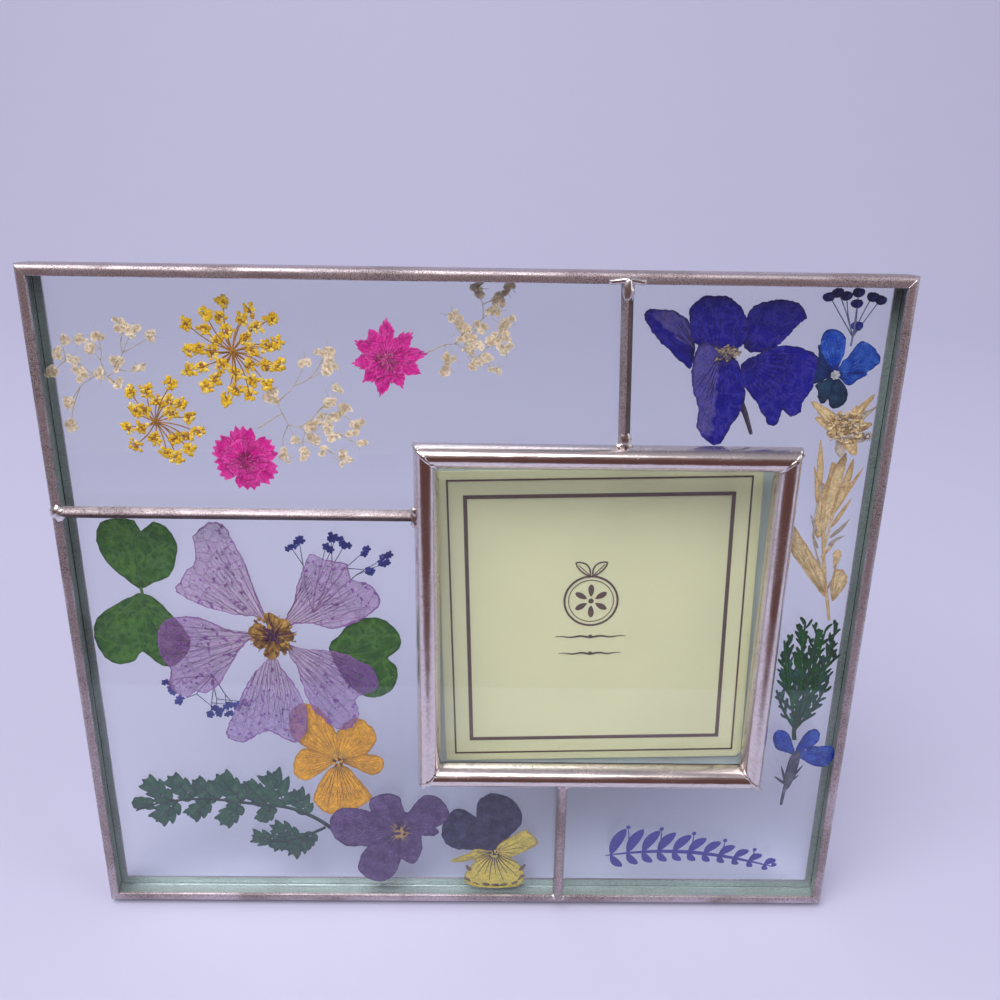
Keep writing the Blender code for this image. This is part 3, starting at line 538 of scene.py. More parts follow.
class Piece:
    """Gathers closed shells in the upright plane's millimetres and makes one mesh object of them."""

    def __init__(self, name):
        self.name = name
        self.points = []
        self.faces = []
        self.grain = []
        self.paint = []

    def add(self, points, faces, grain, paint=0):
        start = len(self.points)
        self.points += [tuple(p) for p in points]
        self.faces += [tuple(start + i for i in face) for face in faces]
        self.grain += [tuple(g) for g in grain]
        self.paint += paint if isinstance(paint, list) else [paint] * len(faces)

    def make(self, materials, slot, replaced=(), body="frame", sharp_deg=50):
        mesh = bpy.data.meshes.new(self.name)
        mesh.from_pydata([TO_ROW @ Vector(p) for p in self.points], [], self.faces)
        attribute = mesh.attributes.new("grain", "FLOAT_VECTOR", "POINT")
        attribute.data.foreach_set("vector", [value for grain in self.grain for value in grain])
        for material in materials:
            mesh.materials.append(material)
        mesh.polygons.foreach_set("material_index", self.paint)
        shape = bmesh.new()
        shape.from_mesh(mesh)
        bmesh.ops.recalc_face_normals(shape, faces=shape.faces)
        shape.to_mesh(mesh)
        shape.free()
        mesh.shade_smooth()
        mesh.set_sharp_from_angle(angle=math.radians(sharp_deg))
        made = bpy.data.objects.new(self.name, mesh)
        bpy.context.scene.collection.objects.link(made)
        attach(made, body)
        if replaced:
            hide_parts(*replaced)
        return made


def polar(centre, reach, angle):
    """The point (x, z) at a distance from another in one direction."""
    return centre[0] + reach * math.cos(angle), centre[1] + reach * math.sin(angle)


def left_of(way):
    """The unit direction to the left of another."""
    return Vector((-way.y, way.x)).normalized()


def deep_polar(centre, reach, angle, depth):
    """The same point as (x, depth, z)."""
    x, z = polar(centre, reach, angle)
    return x, depth, z


def inside(points, outline):
    """Which points lie in a closed outline."""
    hit = np.zeros(len(points), bool)
    ends = np.roll(outline, -1, axis=0)
    for (x0, z0), (x1, z1) in zip(outline, ends):
        crosses = (z0 > points[:, 1]) != (z1 > points[:, 1])
        if z0 != z1:
            at = (x1 - x0) * (points[:, 1] - z0) / (z1 - z0) + x0
            hit ^= crosses & (points[:, 0] < at)
    return hit


def edge_distance(points, outline):
    """Each point's distance from a closed outline."""
    start = outline[None, :, :]
    along = np.roll(outline, -1, axis=0)[None, :, :] - start
    reach = points[:, None, :] - start
    length = np.maximum((along ** 2).sum(2), 1e-12)
    share = np.clip((reach * along).sum(2) / length, 0, 1)
    return np.sqrt(((reach - along * share[..., None]) ** 2).sum(2)).min(1)


def even_outline(outline, spacing, rough=0.0, seed=0.0):
    """A closed outline with evenly spaced points, its edge made a little uneven."""
    outline = np.array(outline, float)
    closed = np.vstack([outline, outline[:1]])
    steps = np.sqrt((np.diff(closed, axis=0) ** 2).sum(1))
    walked = np.concatenate([[0], np.cumsum(steps)])
    count = max(8, int(walked[-1] / spacing))
    at = np.linspace(0, walked[-1], count, endpoint=False)
    out = np.stack([np.interp(at, walked, closed[:, 0]), np.interp(at, walked, closed[:, 1])], 1)
    if rough:
        forward = np.roll(out, -1, axis=0) - np.roll(out, 1, axis=0)
        length = np.maximum(np.sqrt((forward ** 2).sum(1)), 1e-9)
        outward = np.stack([forward[:, 1], -forward[:, 0]], 1) / length[:, None]
        push = [
            0.8 * noise.noise((x * 0.7, z * 0.7, seed)) + 0.6 * noise.noise((x * 2.1, z * 2.1, seed + 9))
            + 0.4 * noise.noise((x * 5.3, z * 5.3, seed + 17)) for x, z in out
        ]
        out = out + outward * (np.array(push) * rough)[:, None]
    return out


def sheet(piece, outline, depth, hub=None, thickness=0.1, spacing=0.6, relief=0.05, rough=0.0, paint=0,
          seed=0.0):
    """A thin closed shell over an outline.

    Its grain attribute runs across and along from the hub, and holds the distance from the edge.
    """
    outline = even_outline(outline, spacing * 0.8, rough, seed)
    low, high = outline.min(0), outline.max(0)
    rows = np.arange(low[1], high[1], spacing * 0.87)
    grid = [
        (x + (row % 2) * spacing / 2, z) for row, z in enumerate(rows)
        for x in np.arange(low[0], high[0], spacing)
    ]
    grid = np.array(grid, float).reshape(-1, 2)
    if len(grid):
        grid = grid[inside(grid, outline)]
    if len(grid):
        grid = grid[edge_distance(grid, outline) > spacing * 0.5]
    flat = [Vector(p) for p in outline] + [Vector(p) for p in grid]
    ring = [(i, (i + 1) % len(outline)) for i in range(len(outline))]
    points, _, faces = delaunay_2d_cdt(flat, ring, [], 1, 1e-5)[:3]
    place = np.array([(p.x, p.y) for p in points])
    used = {}
    for face in faces:
        for a, b in zip(face, list(face[1:]) + [face[0]]):
            used[(a, b)] = True
    border = [edge for edge in used if (edge[1], edge[0]) not in used]

    hub = np.array(hub if hub is not None else (low + high) / 2, float)
    away = place - hub
    radius = np.sqrt((away ** 2).sum(1))
    middle = outline.mean(0) - hub
    axis = math.atan2(middle[1], middle[0])
    angle = (np.arctan2(away[:, 1], away[:, 0]) - axis + math.pi) % math.tau - math.pi
    far = radius > radius.max() * 0.35
    spread = max(np.abs(angle[far]).max() if far.any() else 1.0, 0.05)
    across = np.clip(angle / spread, -1.3, 1.3)
    along = radius / radius.max()
    edge = edge_distance(place, outline)
    wave = np.array([
        noise.noise((x * 0.3, z * 0.3, seed)) + 0.5 * noise.noise((x * 0.9, z * 0.9, seed + 5))
        for x, z in place
    ]) * relief
    count = len(place)
    front = [(x, depth - thickness / 2 + w, z) for (x, z), w in zip(place, wave)]
    back = [(x, depth + thickness / 2 + w, z) for (x, z), w in zip(place, wave)]
    shell = [tuple(face) for face in faces] + [tuple(count + i for i in reversed(face)) for face in faces]
    shell += [(b, a, count + a, count + b) for a, b in border]
    grain = list(zip(across, along, edge)) * 2
    piece.add(front + back, shell, grain, paint)


def strand(piece, path, start_radius, end_radius=None, paint=0, sides=5, flat=0.8):
    """A closed, tapering stalk along a path of points (x, depth, z)."""
    path = [Vector(p) for p in path]
    end_radius = start_radius if end_radius is None else end_radius
    inward = Vector((0, 1, 0))
    rings, grain = [], []
    for i, here in enumerate(path):
        forward = (path[min(i + 1, len(path) - 1)] - path[max(i - 1, 0)]).normalized()
        side = forward.cross(inward).normalized()
        share = i / (len(path) - 1)
        radius = start_radius + (end_radius - start_radius) * share
        for k in range(sides):
            angle = math.tau * k / sides
            rings.append(here + side * radius * math.cos(angle) + inward * radius * flat * math.sin(angle))
            grain.append((0.5 * math.cos(angle), share, 0.4))
    faces = [tuple(range(sides)), tuple(range(len(rings) - sides, len(rings)))]
    for i in range(len(path) - 1):
        for k in range(sides):
            a, b = i * sides + k, i * sides + (k + 1) % sides
            faces.append((a, b, b + sides, a + sides))
    piece.add(rings, faces, grain, paint)


def curve(points, steps=5):
    """A smooth open path through the points, of two or three coordinates."""
    points = [Vector(p) for p in points]
    out = []
    for i in range(len(points) - 1):
        before, here = points[max(i - 1, 0)], points[i]
        there, after = points[i + 1], points[min(i + 2, len(points) - 1)]
        for step in range(steps):
            t = step / steps
            square = 2 * before - 5 * here + 4 * there - after
            cube = 3 * here - before - 3 * there + after
            out.append(0.5 * (2 * here + (there - before) * t + square * t ** 2 + cube * t ** 3))
    return out + [points[-1]]


def stalk(piece, points, depth, start_radius, end_radius=None, paint=0, steps=5, sides=5):
    """A stalk through points (x, z) at one depth."""
    path = [(p.x, depth, p.y) for p in curve(points, steps)]
    strand(piece, path, start_radius, end_radius, paint, sides)


BALLS = {}


def ball(level):
    if level not in BALLS:
        shape = bmesh.new()
        bmesh.ops.create_icosphere(shape, subdivisions=level, radius=1.0)
        BALLS[level] = ([v.co.copy() for v in shape.verts],
                        [tuple(v.index for v in f.verts) for f in shape.faces])
        shape.free()
    return BALLS[level]


def lump(piece, centre, radii, seed=0.0, rough=0.2, paint=0, level=2, turn=0.0):
    """A small uneven ball at (x, depth, z), with radii along and across its turn and in depth."""
    points, faces = ball(level)
    cos, sin = math.cos(turn), math.sin(turn)
    out, grain = [], []
    for p in points:
        swell = 1 + rough * noise.noise(p * 1.7 + Vector((seed, seed * 0.7, 0)))
        x, y, z = p.x * radii[0] * swell, p.y * radii[1] * swell, p.z * radii[2] * swell
        out.append((centre[0] + x * cos - z * sin, centre[1] + y, centre[2] + x * sin + z * cos))
        grain.append((p.x, 0.5 + 0.5 * p.z, 0.3 + 0.5 * (1 - abs(p.x))))
    piece.add(out, faces, grain, paint)


def blade(base, tip, width, low=0.6, high=0.6, bend=0.0, steps=14):
    """The outline of a leaf or petal from base to tip, widest where its two powers put it."""
    base, tip = Vector(base), Vector(tip)
    along = tip - base
    side = left_of(along)
    peak = low / (low + high)
    most = peak ** low * (1 - peak) ** high
    left, right = [], []
    for i in range(steps + 1):
        t = i / steps
        middle = base + along * t + side * bend * math.sin(math.pi * t)
        half = width / 2 * max(t ** low * (1 - t) ** high / most, 0.03)
        left.append(tuple(middle + side * half))
        right.append(tuple(middle - side * half))
    return left + right[::-1]


def crossings(outline, hub, angle):
    """Distances from the hub at which a ray in one direction crosses an outline, in order."""
    dx, dz = math.cos(angle), math.sin(angle)
    out = []
    for (x0, z0), (x1, z1) in zip(outline, outline[1:] + outline[:1]):
        ex, ez = x1 - x0, z1 - z0
        cross = dx * ez - dz * ex
        if abs(cross) > 1e-9:
            qx, qz = x0 - hub[0], z0 - hub[1]
            far, share = (qx * ez - qz * ex) / cross, (qx * dz - qz * dx) / cross
            if 0 <= share <= 1 and far > 0:
                out.append(far)
    return sorted(out)


def reach_of(outline, hub, angle):
    """Distance from the hub to the far side of an outline in one direction."""
    return max(crossings(outline, hub, angle), default=0.0)


def petal_of(outline, hub, start_deg, end_deg, tuck=0.2, steps=30):
    """The part of a flower's outline between two directions, rounded off towards its neighbours."""
    out = [tuple(hub)]
    for i in range(steps + 1):
        t = i / steps * 2 - 1
        angle = math.radians(start_deg + (end_deg - start_deg) * i / steps)
        reach = reach_of(outline, hub, angle) * (1 - tuck * abs(t) ** 5)
        out.append(polar(hub, reach, angle))
    return out


def arc(centre, radius, start_deg, end_deg, steps=8):
    out = []
    for i in range(steps + 1):
        angle = math.radians(start_deg + (end_deg - start_deg) * i / steps)
        out.append(polar(centre, radius, angle))
    return out


def bar(piece, start, end, inward, profile, mitred, wavy=0.02, seed=0.0, paints=None, step=0.8):
    """A bar of one closed section (across, depth) swept along the frame's plane, with slightly wavy faces."""
    start, end, inward = Vector(start), Vector(end), Vector(inward)
    length = (end - start).length
    along = (end - start) / length
    stations = max(4, int(length / step))
    size = len(profile)
    points, grain = [], []
    for i in range(stations + 1):
        t = i / stations
        for k, (across, depth) in enumerate(profile):
            walk = across + t * (length - 2 * across) if mitred else t * length
            spot = start + along * walk + inward * across
            bend = wavy * noise.noise((walk * 0.35, k * 0.4,
                                       seed)) + wavy * 0.5 * noise.noise((walk * 1.3, k * 0.9, seed + 3))
            points.append((spot.x, depth + bend, spot.y))
            grain.append((k / size * 2 - 1, t, 0.5))
    faces = [tuple(range(size)), tuple(range(stations * size, stations * size + size))]
    paint = [0, 0]
    for i in range(stations):
        for k in range(size):
            a, b = i * size + k, i * size + (k + 1) % size
            faces.append((a, b, b + size, a + size))
            paint.append(paints[k] if paints else 0)
    piece.add(points, faces, grain, paint)


def came_section():
    """The rim's section and, for each stretch of it, 1 where it faces the channel's inside."""
    back, r, e = RIM_DEPTH, RIM_ROUND, 0.2
    out = arc((RIM_LIP - e, e), e, 0, -90, 3)
    out += arc((r, r), r, -90, -180, 9)
    out += arc((r, back - r), r, 180, 90, 9)
    out += arc((RIM_LIP - e, back - e), e, 90, 0, 3)
    paints = [0] * len(out)
    paints += [1, 1, 1, 0]
    out += [(RIM_LIP, back - RIM_WALL), (RIM_WALL, back - RIM_WALL), (RIM_WALL, RIM_WALL),
            (RIM_LIP, RIM_WALL)]
    return out, paints


def half_round(width, rise, steps=20):
    out = []
    for i in range(steps + 1):
        angle = math.pi * i / steps
        out.append((width / 2 * (1 - math.cos(angle)), BAR_BACK - rise * math.sin(angle)))
    return out


def corners_of(left, right, low, high):
    """Four sides of a rectangle in the order bottom, right, top, left: start, end and inward direction."""
    points = [(left, low), (right, low), (right, high), (left, high)]
    inward = [(0, 1), (-1, 0), (0, -1), (1, 0)]
    return [(points[i], points[(i + 1) % 4], inward[i]) for i in range(4)]


def ribbon(piece, path, width, depth, thickness=0.04, paint=0):
    """A flat closed strip along a path of (x, z). Its width is a number or a function of the share."""
    path = [Vector(p) for p in path]
    points, grain = [], []
    for i, here in enumerate(path):
        forward = (path[min(i + 1, len(path) - 1)] - path[max(i - 1, 0)]).normalized()
        side = Vector((-forward.y, forward.x))
        share = i / (len(path) - 1)
        half = (width(share) if callable(width) else width) / 2
        for across, deep in ((half, -1), (-half, -1), (-half, 1), (half, 1)):
            spot = here + side * across
            points.append((spot.x, depth + deep * thickness / 2, spot.y))
            grain.append((across / half, share, half))
    last = len(points) - 4
    faces = [(0, 1, 2, 3), (last, last + 1, last + 2, last + 3)]
    for i in range(len(path) - 1):
        for k in range(4):
            a, b = i * 4 + k, i * 4 + (k + 1) % 4
            faces.append((a, b, b + 4, a + 4))
    piece.add(points, faces, grain, paint)


def slab(piece, left, right, low, high, front, back, arris=0.25):
    """A flat rectangular plate whose edges are ground off by the arris."""
    rings = [(arris, front), (0, front + arris), (0, back - arris), (arris, back)]
    points = []
    for inset, depth in rings:
        points += [
            (left + inset, depth, low + inset), (right - inset, depth, low + inset),
            (right - inset, depth, high - inset), (left + inset, depth, high - inset),
        ]
    faces = [(0, 1, 2, 3), (12, 13, 14, 15)]
    for i in range(3):
        for k in range(4):
            a, b = i * 4 + k, i * 4 + (k + 1) % 4
            faces.append((a, b, b + 4, a + 4))
    piece.add(points, faces, [(0, 0.5, 1)] * 16)


def directions(outline, hub):
    """The middle direction of a petal seen from its hub, and how far it spreads either way, in radians."""
    axis = math.atan2(sum(p[1] for p in outline) / len(outline) - hub[1],
                      sum(p[0] for p in outline) / len(outline) - hub[0])
    far = max(math.dist(p, hub) for p in outline)
    spread = 0.05
    for x, z in outline:
        if math.dist((x, z), hub) > far * 0.45:
            angle = (math.atan2(z - hub[1], x - hub[0]) - axis + math.pi) % math.tau - math.pi
            spread = max(spread, abs(angle))
    return axis, spread


def ribs(piece, outline, hub, depth, count, radius=0.05, seed=1, paint=1, start=0.12, forks=True):
    """Raised veins that run from the hub to the edge of a petal and fork on the way."""
    chance = random.Random(seed)
    axis, spread = directions(outline, hub)
    for i in range(count):
        angle = axis + spread * 0.86 * ((i + 0.5) / count * 2 - 1)
        crossed = crossings(outline, hub, angle)
        if not crossed or crossed[-1] < 1.0:
            continue
        reach = crossed[-1] * 0.93
        first = max(start, crossed[0] / reach + 0.02 if len(crossed) % 2 == 0 else 0.0)
        if first > 0.6:
            continue
        bend = chance.uniform(-0.05, 0.05)

        def spot(share, turn=0.0):
            way = angle + bend * share + turn
            return polar(hub, reach * share, way)

        through = [spot(first), spot(first * 0.6 + 0.4), spot(first * 0.25 + 0.73), spot(0.97)]
        stalk(piece, through, depth, radius, radius * 0.35, paint, 3, 4)
        if forks:
            for fork, turn in ((max(0.42, first + 0.05), 0.09), (max(0.6, first + 0.1), -0.1)):
                end = 0.9 * min(1.0, reach_of(outline, hub, angle + turn) / reach)
                if end > fork + 0.1:
                    route = [spot(fork), spot((fork + end) / 2, turn * 0.6), spot(end, turn)]
                    stalk(piece, route, depth, radius * 0.6, radius * 0.25, paint, 2, 4)


# ---------------------------------------------------------------- materials of the metalwork


def tin(settings):
    return grained_metal("tin came", settings.came_light, settings.came_dark, 0.62, 0.16, 1 / settings.grain,
                         0.5)


def channel_inside(settings):
    return grained_metal("came inside", settings.channel, dark_of(settings.channel, 0.6), 0.5, 0.3, 2600.0,
                         0.3)


def solder(settings):
    return grained_metal("solder", (0.84, 0.81, 0.81), settings.came_dark, 0.22, 0.14, 900.0, 0.2)


def polished(settings):
    return grained_metal("polished bezel", settings.bezel, settings.bezel_warm, 0.2, 0.1, 1500.0, 0.22)


def hinge_metal(settings):
    return grained_metal("hinge steel", settings.steel, dark_of(settings.steel, 0.4), 0.5, 0.2, 3200.0, 0.3)


def ink_material(name, shade):
    return paper_material(name, shade, dark_of(shade, 0.55), 0.5, 0.45, 0.2)


# ---------------------------------------------------------------- metalwork and glass


class FrameOperator(bpy.types.Operator):
    """Base of the operators below"""

    bl_options = {"REGISTER", "UNDO"}

    def execute(self, context):
        self.build(context.scene.pressed_metal, context.scene.pressed_flowers)
        return {"FINISHED"}


def solder_seam(piece, spots, depth, radii, seed, paint=1):
    """A row of uneven solder lumps at (x, z)."""
    for i, (x, z) in enumerate(spots):
        turn = noise.noise((x, z, seed)) * 2
        lump(piece, (x, depth, z), radii, seed + i * 1.7, 0.5, paint, 2, turn)


class PRESSED_OT_came(FrameOperator):
    """The four lengths of came round the glass, soldered at their mitres"""

    bl_idname = "pressed_frame.came"
    bl_label = "Came rim"

    def build(self, metal, flowers):
        materials = [tin(metal), channel_inside(metal), solder(metal)]
        profile, paints = came_section()
        sides = corners_of(-WIDTH / 2, WIDTH / 2, 0, HEIGHT)
        for i, (name, (start, end, inward)) in enumerate(zip(RIMS, sides)):
            piece = Piece(name + "_came")
            bar(piece, start, end, inward, profile, True, 0.03, i * 7.3, paints)
            if name in ("rim_bottom", "rim_top"):
                for corner, way in ((start, 1), (end, -1)):
                    direction = 1 if (end[0] > start[0]) == (way > 0) else -1
                    for face in (0.06, RIM_DEPTH - 0.06):
                        ridge = [
                            (corner[0] + direction * (0.75 + 0.12 * k), face,
                             corner[1] + inward[1] * (0.75 + 0.12 * k))
                            for k in range(11)
                        ]
                        strand(piece, ridge, 0.17, 0.13, 2, 6, 0.8)
            piece.make(materials, "tin_came", [name], sharp_deg=60)


class PRESSED_OT_dividers(FrameOperator):
    """The three half-round strips on the front glass, with solder at their ends"""

    bl_idname = "pressed_frame.dividers"
    bl_label = "Dividers"

    def build(self, metal, flowers):
        # The lower side of the left strip and the right side of the top strip get a darker copy of the tin:
        # painted shade on the side turned away from the key light.
        painted_shade_tin = grained_metal("painted shade tin", dark_of(metal.came_light, 0.3), metal.came_dark, 0.8, 0.2,
                                  1 / metal.grain, 0.5)
        materials = [tin(metal), solder(metal), painted_shade_tin]
        profile = half_round(DIVIDER_WIDTH, DIVIDER_RISE, 12)
        shaded = [2 if across < DIVIDER_WIDTH * 0.42 else 0 for across, _ in profile]
        half = DIVIDER_WIDTH / 2
        inner = RIM_LIP - 0.2
        low, high = plane_box("divider_left")
        z = (low.z + high.z) / 2
        bezel_left = plane_box("bezel_left")[0].x
        piece = Piece("divider_left_strip")
        bar(piece, (-WIDTH / 2 + inner, z - half), (bezel_left + 0.5, z - half), (0, 1), profile, False, 0.04,
            1.0, shaded)
        solder_seam(piece, [(-WIDTH / 2 + 1.5, z + 0.2), (-WIDTH / 2 + 2.3, z - 0.2)], -0.35,
                    (1.1, 0.75, 1.25), 2.0)
        solder_seam(piece, [(bezel_left + 0.2, z + 1.2), (bezel_left + 0.1, z), (bezel_left + 0.2, z - 1.1)],
                    -0.6, (0.65, 0.8, 0.95), 4.0)
        piece.make(materials, "tin_came", ["divider_left"])

        low, high = plane_box("divider_top")
        foot, head = high.x - half, low.x + half
        bezel_top = plane_box("bezel_top")[1].z
        piece = Piece("divider_top_strip")
        bar(piece, (foot + half, bezel_top - 0.5), (head + half, HEIGHT - inner), (-1, 0), profile, False,
            0.04, 5.0, shaded)
        joint = HEIGHT - RIM_LIP
        wing = [
            (head + x, -0.3 - 0.1 * math.cos(x * 1.4), joint + 0.75 - 0.14 * abs(x))
            for x in (-2.8, -2.2, -1.5, -0.8, 0, 0.8, 1.5, 2.1, 2.6)
        ]
        strand(piece, wing, 0.5, 0.5, 1, 10, 0.9)
        for side in (-2.7, 2.5):
            lump(piece, (head + side, -0.2, joint + 0.4), (0.62, 0.45, 0.5), side, 0.3, 1, 3)
        lump(piece, (head, -0.5, joint - 1.1), (1.02, 0.78, 2.1), 8.0, 0.25, 1, 3)
        lump(piece, (foot, -0.4, bezel_top + 1.3), (1.12, 0.86, 1.5), 9.0, 0.2, 1, 3)
        lump(piece, (foot, -0.1, bezel_top + 0.1), (1.5, 0.75, 0.5), 10.0, 0.25, 1, 3)
        piece.make(materials, "tin_came", ["divider_top"])

        low, high = plane_box("divider_bottom")
        x = (low.x + high.x) / 2
        bezel_low = plane_box("bezel_bottom")[0].z
        piece = Piece("divider_bottom_strip")
        bar(piece, (x + half, inner), (x + half, bezel_low + 0.5), (-1, 0), profile, False, 0.05, 11.0)
        solder_seam(piece, [(x - 0.6, RIM_LIP), (x + 0.6, RIM_LIP)], -0.25, (0.95, 0.5, 0.55), 12.0)
        solder_seam(piece, [(x - 0.7, bezel_low), (x + 0.7, bezel_low)], -0.5, (0.9, 0.6, 0.5), 14.0)
        piece.make(materials, "tin_came", ["divider_bottom"])


def bezel_edges():
    left = plane_box("bezel_left")[0].x
    right = plane_box("bezel_right")[1].x
    return left, right, plane_box("bezel_bottom")[0].z, plane_box("bezel_top")[1].z


class PRESSED_OT_bezel(FrameOperator):
    """The four polished half-round bars round the window, with solder run along their mitres"""

    bl_idname = "pressed_frame.bezel"
    bl_label = "Window bezel"

    def build(self, metal, flowers):
        materials = [polished(metal), solder(metal)]
        profile = half_round(BEZEL_WIDTH, BEZEL_RISE, 30)
        sides = corners_of(*bezel_edges())
        for i, (name, (start, end, inward)) in enumerate(zip(BEZELS, sides)):
            piece = Piece(name + "_bar")
            bar(piece, start, end, inward, profile, True, 0.02, 20 + i * 4.7)
            self.seam(piece, start, sides[i - 1][2], inward, i)
            piece.make(materials, "polished_bezel", [name], sharp_deg=60)

    def seam(self, piece, corner, first, second, index):
        """A bead of solder over the arch of the mitre at one corner."""
        inward = Vector(first) + Vector(second)
        route = []
        for k in range(13):
            across = BEZEL_WIDTH * (0.02 + 0.96 * k / 12)
            angle = math.acos(max(-1.0, min(1.0, 1 - 2 * across / BEZEL_WIDTH)))
            wander = 0.22 * noise.noise((k * 0.5, index * 3.1, 0.0))
            spot = Vector(corner) + inward * across
            route.append((spot.x + wander, BAR_BACK - BEZEL_RISE * math.sin(angle) - 0.02, spot.y - wander))
        strand(piece, route, 0.33, 0.28, 1, 8, 0.5)
        for k in (2, 5, 9):
            x, depth, z = route[k]
            lump(piece, (x + 0.2, depth, z), (0.55, 0.22, 0.4), index * 4 + k, 0.6, 1, 2, k)


class PRESSED_OT_glass(FrameOperator):
    """The two panes, their edges hidden in the came"""

    bl_idname = "pressed_frame.glass"
    bl_label = "Glass"

    def build(self, metal, flowers):
        material = glass_material("clear glass", metal.glass)
        for name in ("front_glass", "rear_glass"):
            low, high = plane_box(name)
            piece = Piece(name + "_pane")
            slab(piece, low.x, high.x, low.z, high.z, low.y, high.y)
            piece.make([material], "clear_glass", [name], sharp_deg=20)


class PRESSED_OT_card(FrameOperator):
    """The insert card, printed with two frames and a small leafy medallion"""

    bl_idname = "pressed_frame.card"
    bl_label = "Insert card"

    def build(self, metal, flowers):
        corners = sorted(plate_outline("photo_card"), key=lambda p: p[1])
        low = sorted(corners[:2])
        turn = math.atan2(low[1][1] - low[0][1], low[1][0] - low[0][0])
        centre = Vector((sum(p[0] for p in corners) / 4, sum(p[1] for p in corners) / 4))
        front = plane_box("photo_card")[0].y

        def on_card(points):
            cos, sin = math.cos(turn), math.sin(turn)
            return [(centre.x + x * cos - z * sin, centre.y + x * sin + z * cos) for x, z in points]

        piece = Piece("insert_card")
        middle = plane_box("photo_card")[1].y - 0.12
        sheet(piece, plate_outline("photo_card"), middle, None, 0.24, 2.5, 0.06)
        depth = front - 0.06
        for width, half_x, half_z in ((0.34, 28.6, 29.5), (0.75, 25.3, 26.2)):
            for sign in (-1, 1):
                reach = half_x + width / 2
                ribbon(piece, on_card([(-reach, sign * half_z), (reach, sign * half_z)]), width, depth, 0.03,
                       1)
                reach = half_z - width / 2
                ribbon(piece, on_card([(sign * half_x, -reach), (sign * half_x, reach)]), width, depth, 0.03,
                       1)
        self.medallion(piece, on_card, depth)
        print_ink = ink_material("card print", metal.card_line)
        stock = paper_material("card stock", metal.card, dark_of(metal.card, 0.85), 0.25, 0.5)
        piece.make([stock, print_ink], "printed_card", ["photo_card"])

    def medallion(self, piece, on_card, depth):
        centre = (-1.2, 4.5)
        for radius, width in ((5.2, 0.42), (4.4, 0.16)):
            ring = arc(centre, radius, 0, 360, 48)
            ribbon(piece, on_card(ring), width, depth, 0.03, 1)
        for i in range(6):
            way = math.radians(90 + 60 * i)
            base = polar(centre, 0.9, way)
            tip = polar(centre, 3.6, way)
            sheet(piece, on_card(blade(base, tip, 1.15, 0.9, 0.7)), depth, None, 0.03, 0.5, 0, paint=1)
        sheet(piece, on_card(arc(centre, 0.55, 0, 345, 16)), depth, None, 0.03, 0.4, 0, paint=1)
        for sign in (-1, 1):
            leaf = blade((centre[0] + sign * 0.3, 9.9), (centre[0] + sign * 3.0, 12.6), 1.7, 0.8, 0.8,
                         sign * 0.3)
            edge = leaf + leaf[:1]
            ribbon(piece, on_card(edge), 0.3, depth, 0.03, 1)
            rib = [(centre[0] + sign * 0.5, 10.1), (centre[0] + sign * 2.5, 12.1)]
            ribbon(piece, on_card(rib), 0.16, depth, 0.03, 1)
        for z, half in ((-3.2, 7.0), (-6.9, 6.2)):
            rule = [(centre[0] + half * (k / 20 * 2 - 1), z + 0.14 * math.sin(k * 1.1)) for k in range(21)]
            ribbon(piece, on_card(rule), lambda share: 0.08 + 0.34 * math.sin(math.pi * share), depth, 0.03,
                   1)
            sheet(piece, on_card(arc((centre[0], z), 0.45, 0, 345, 12)), depth, None, 0.03, 0.3, 0, paint=1)


class PRESSED_OT_sprig(FrameOperator):
    """The leafy scroll printed in violet on the back of the front glass"""

    bl_idname = "pressed_frame.sprig"
    bl_label = "Printed sprig"

    def build(self, metal, flowers):
        piece = Piece("printed_sprig")
        depth = plane_box("front_glass")[1].y + 0.03
        left, right, base = 28.8, 66.2, 7.2

        def pen(points, wide, steps=8):
            ribbon(piece, [tuple(p) for p in curve(points, steps)],
                   lambda s: wide * (0.3 + 0.9 * math.sin(math.pi * s)), depth)

        def leaf(foot, tip, wide=1.5, bend=0.2):
            sheet(piece, blade(foot, tip, wide, 0.8, 0.7, bend), depth, None, 0.04, 0.5, 0)

        length = right - left - 1.5
        stem = [(left + 0.5 + length * t, base + 1.5 + 4.2 * math.sin(0.6 + 2.2 * t) - 1.6 * t)
                for t in np.linspace(0, 1, 12)]
        pen(stem, 0.75, 4)
        line = curve(stem, 10)
        count = 11
        for i in range(count):
            share = (i + 0.5) / count
            foot = line[int(share * (len(line) - 2))]
            ahead = (line[int(share * (len(line) - 2)) + 1] - foot).normalized()
            size = 7.6 - 5.0 * share
            for sign in (1, -1):
                turn = math.radians(58 - 18 * share) * sign
                way = Matrix.Rotation(turn, 2) @ ahead
                reach = size if sign > 0 else size * 0.55
                leaf(tuple(foot), tuple(foot + way * reach), 0.95 + 0.2 * reach, 0.35 * sign)
            if i % 2:
                berry = foot + Matrix.Rotation(math.radians(84), 2) @ ahead * size * 0.95
                pen([foot, foot.lerp(berry, 0.5) + ahead * 0.3, berry], 0.24, 4)
                lump(piece, (berry.x, depth, berry.y), (0.48, 0.02, 0.48), i, 0.1)
        leaf(tuple(line[-2]), (right, line[-1].y + 0.6), 1.1)
        piece.make([ink_material("violet ink", metal.ink)], "cobalt_petal")


# ---------------------------------------------------------------- back of the frame


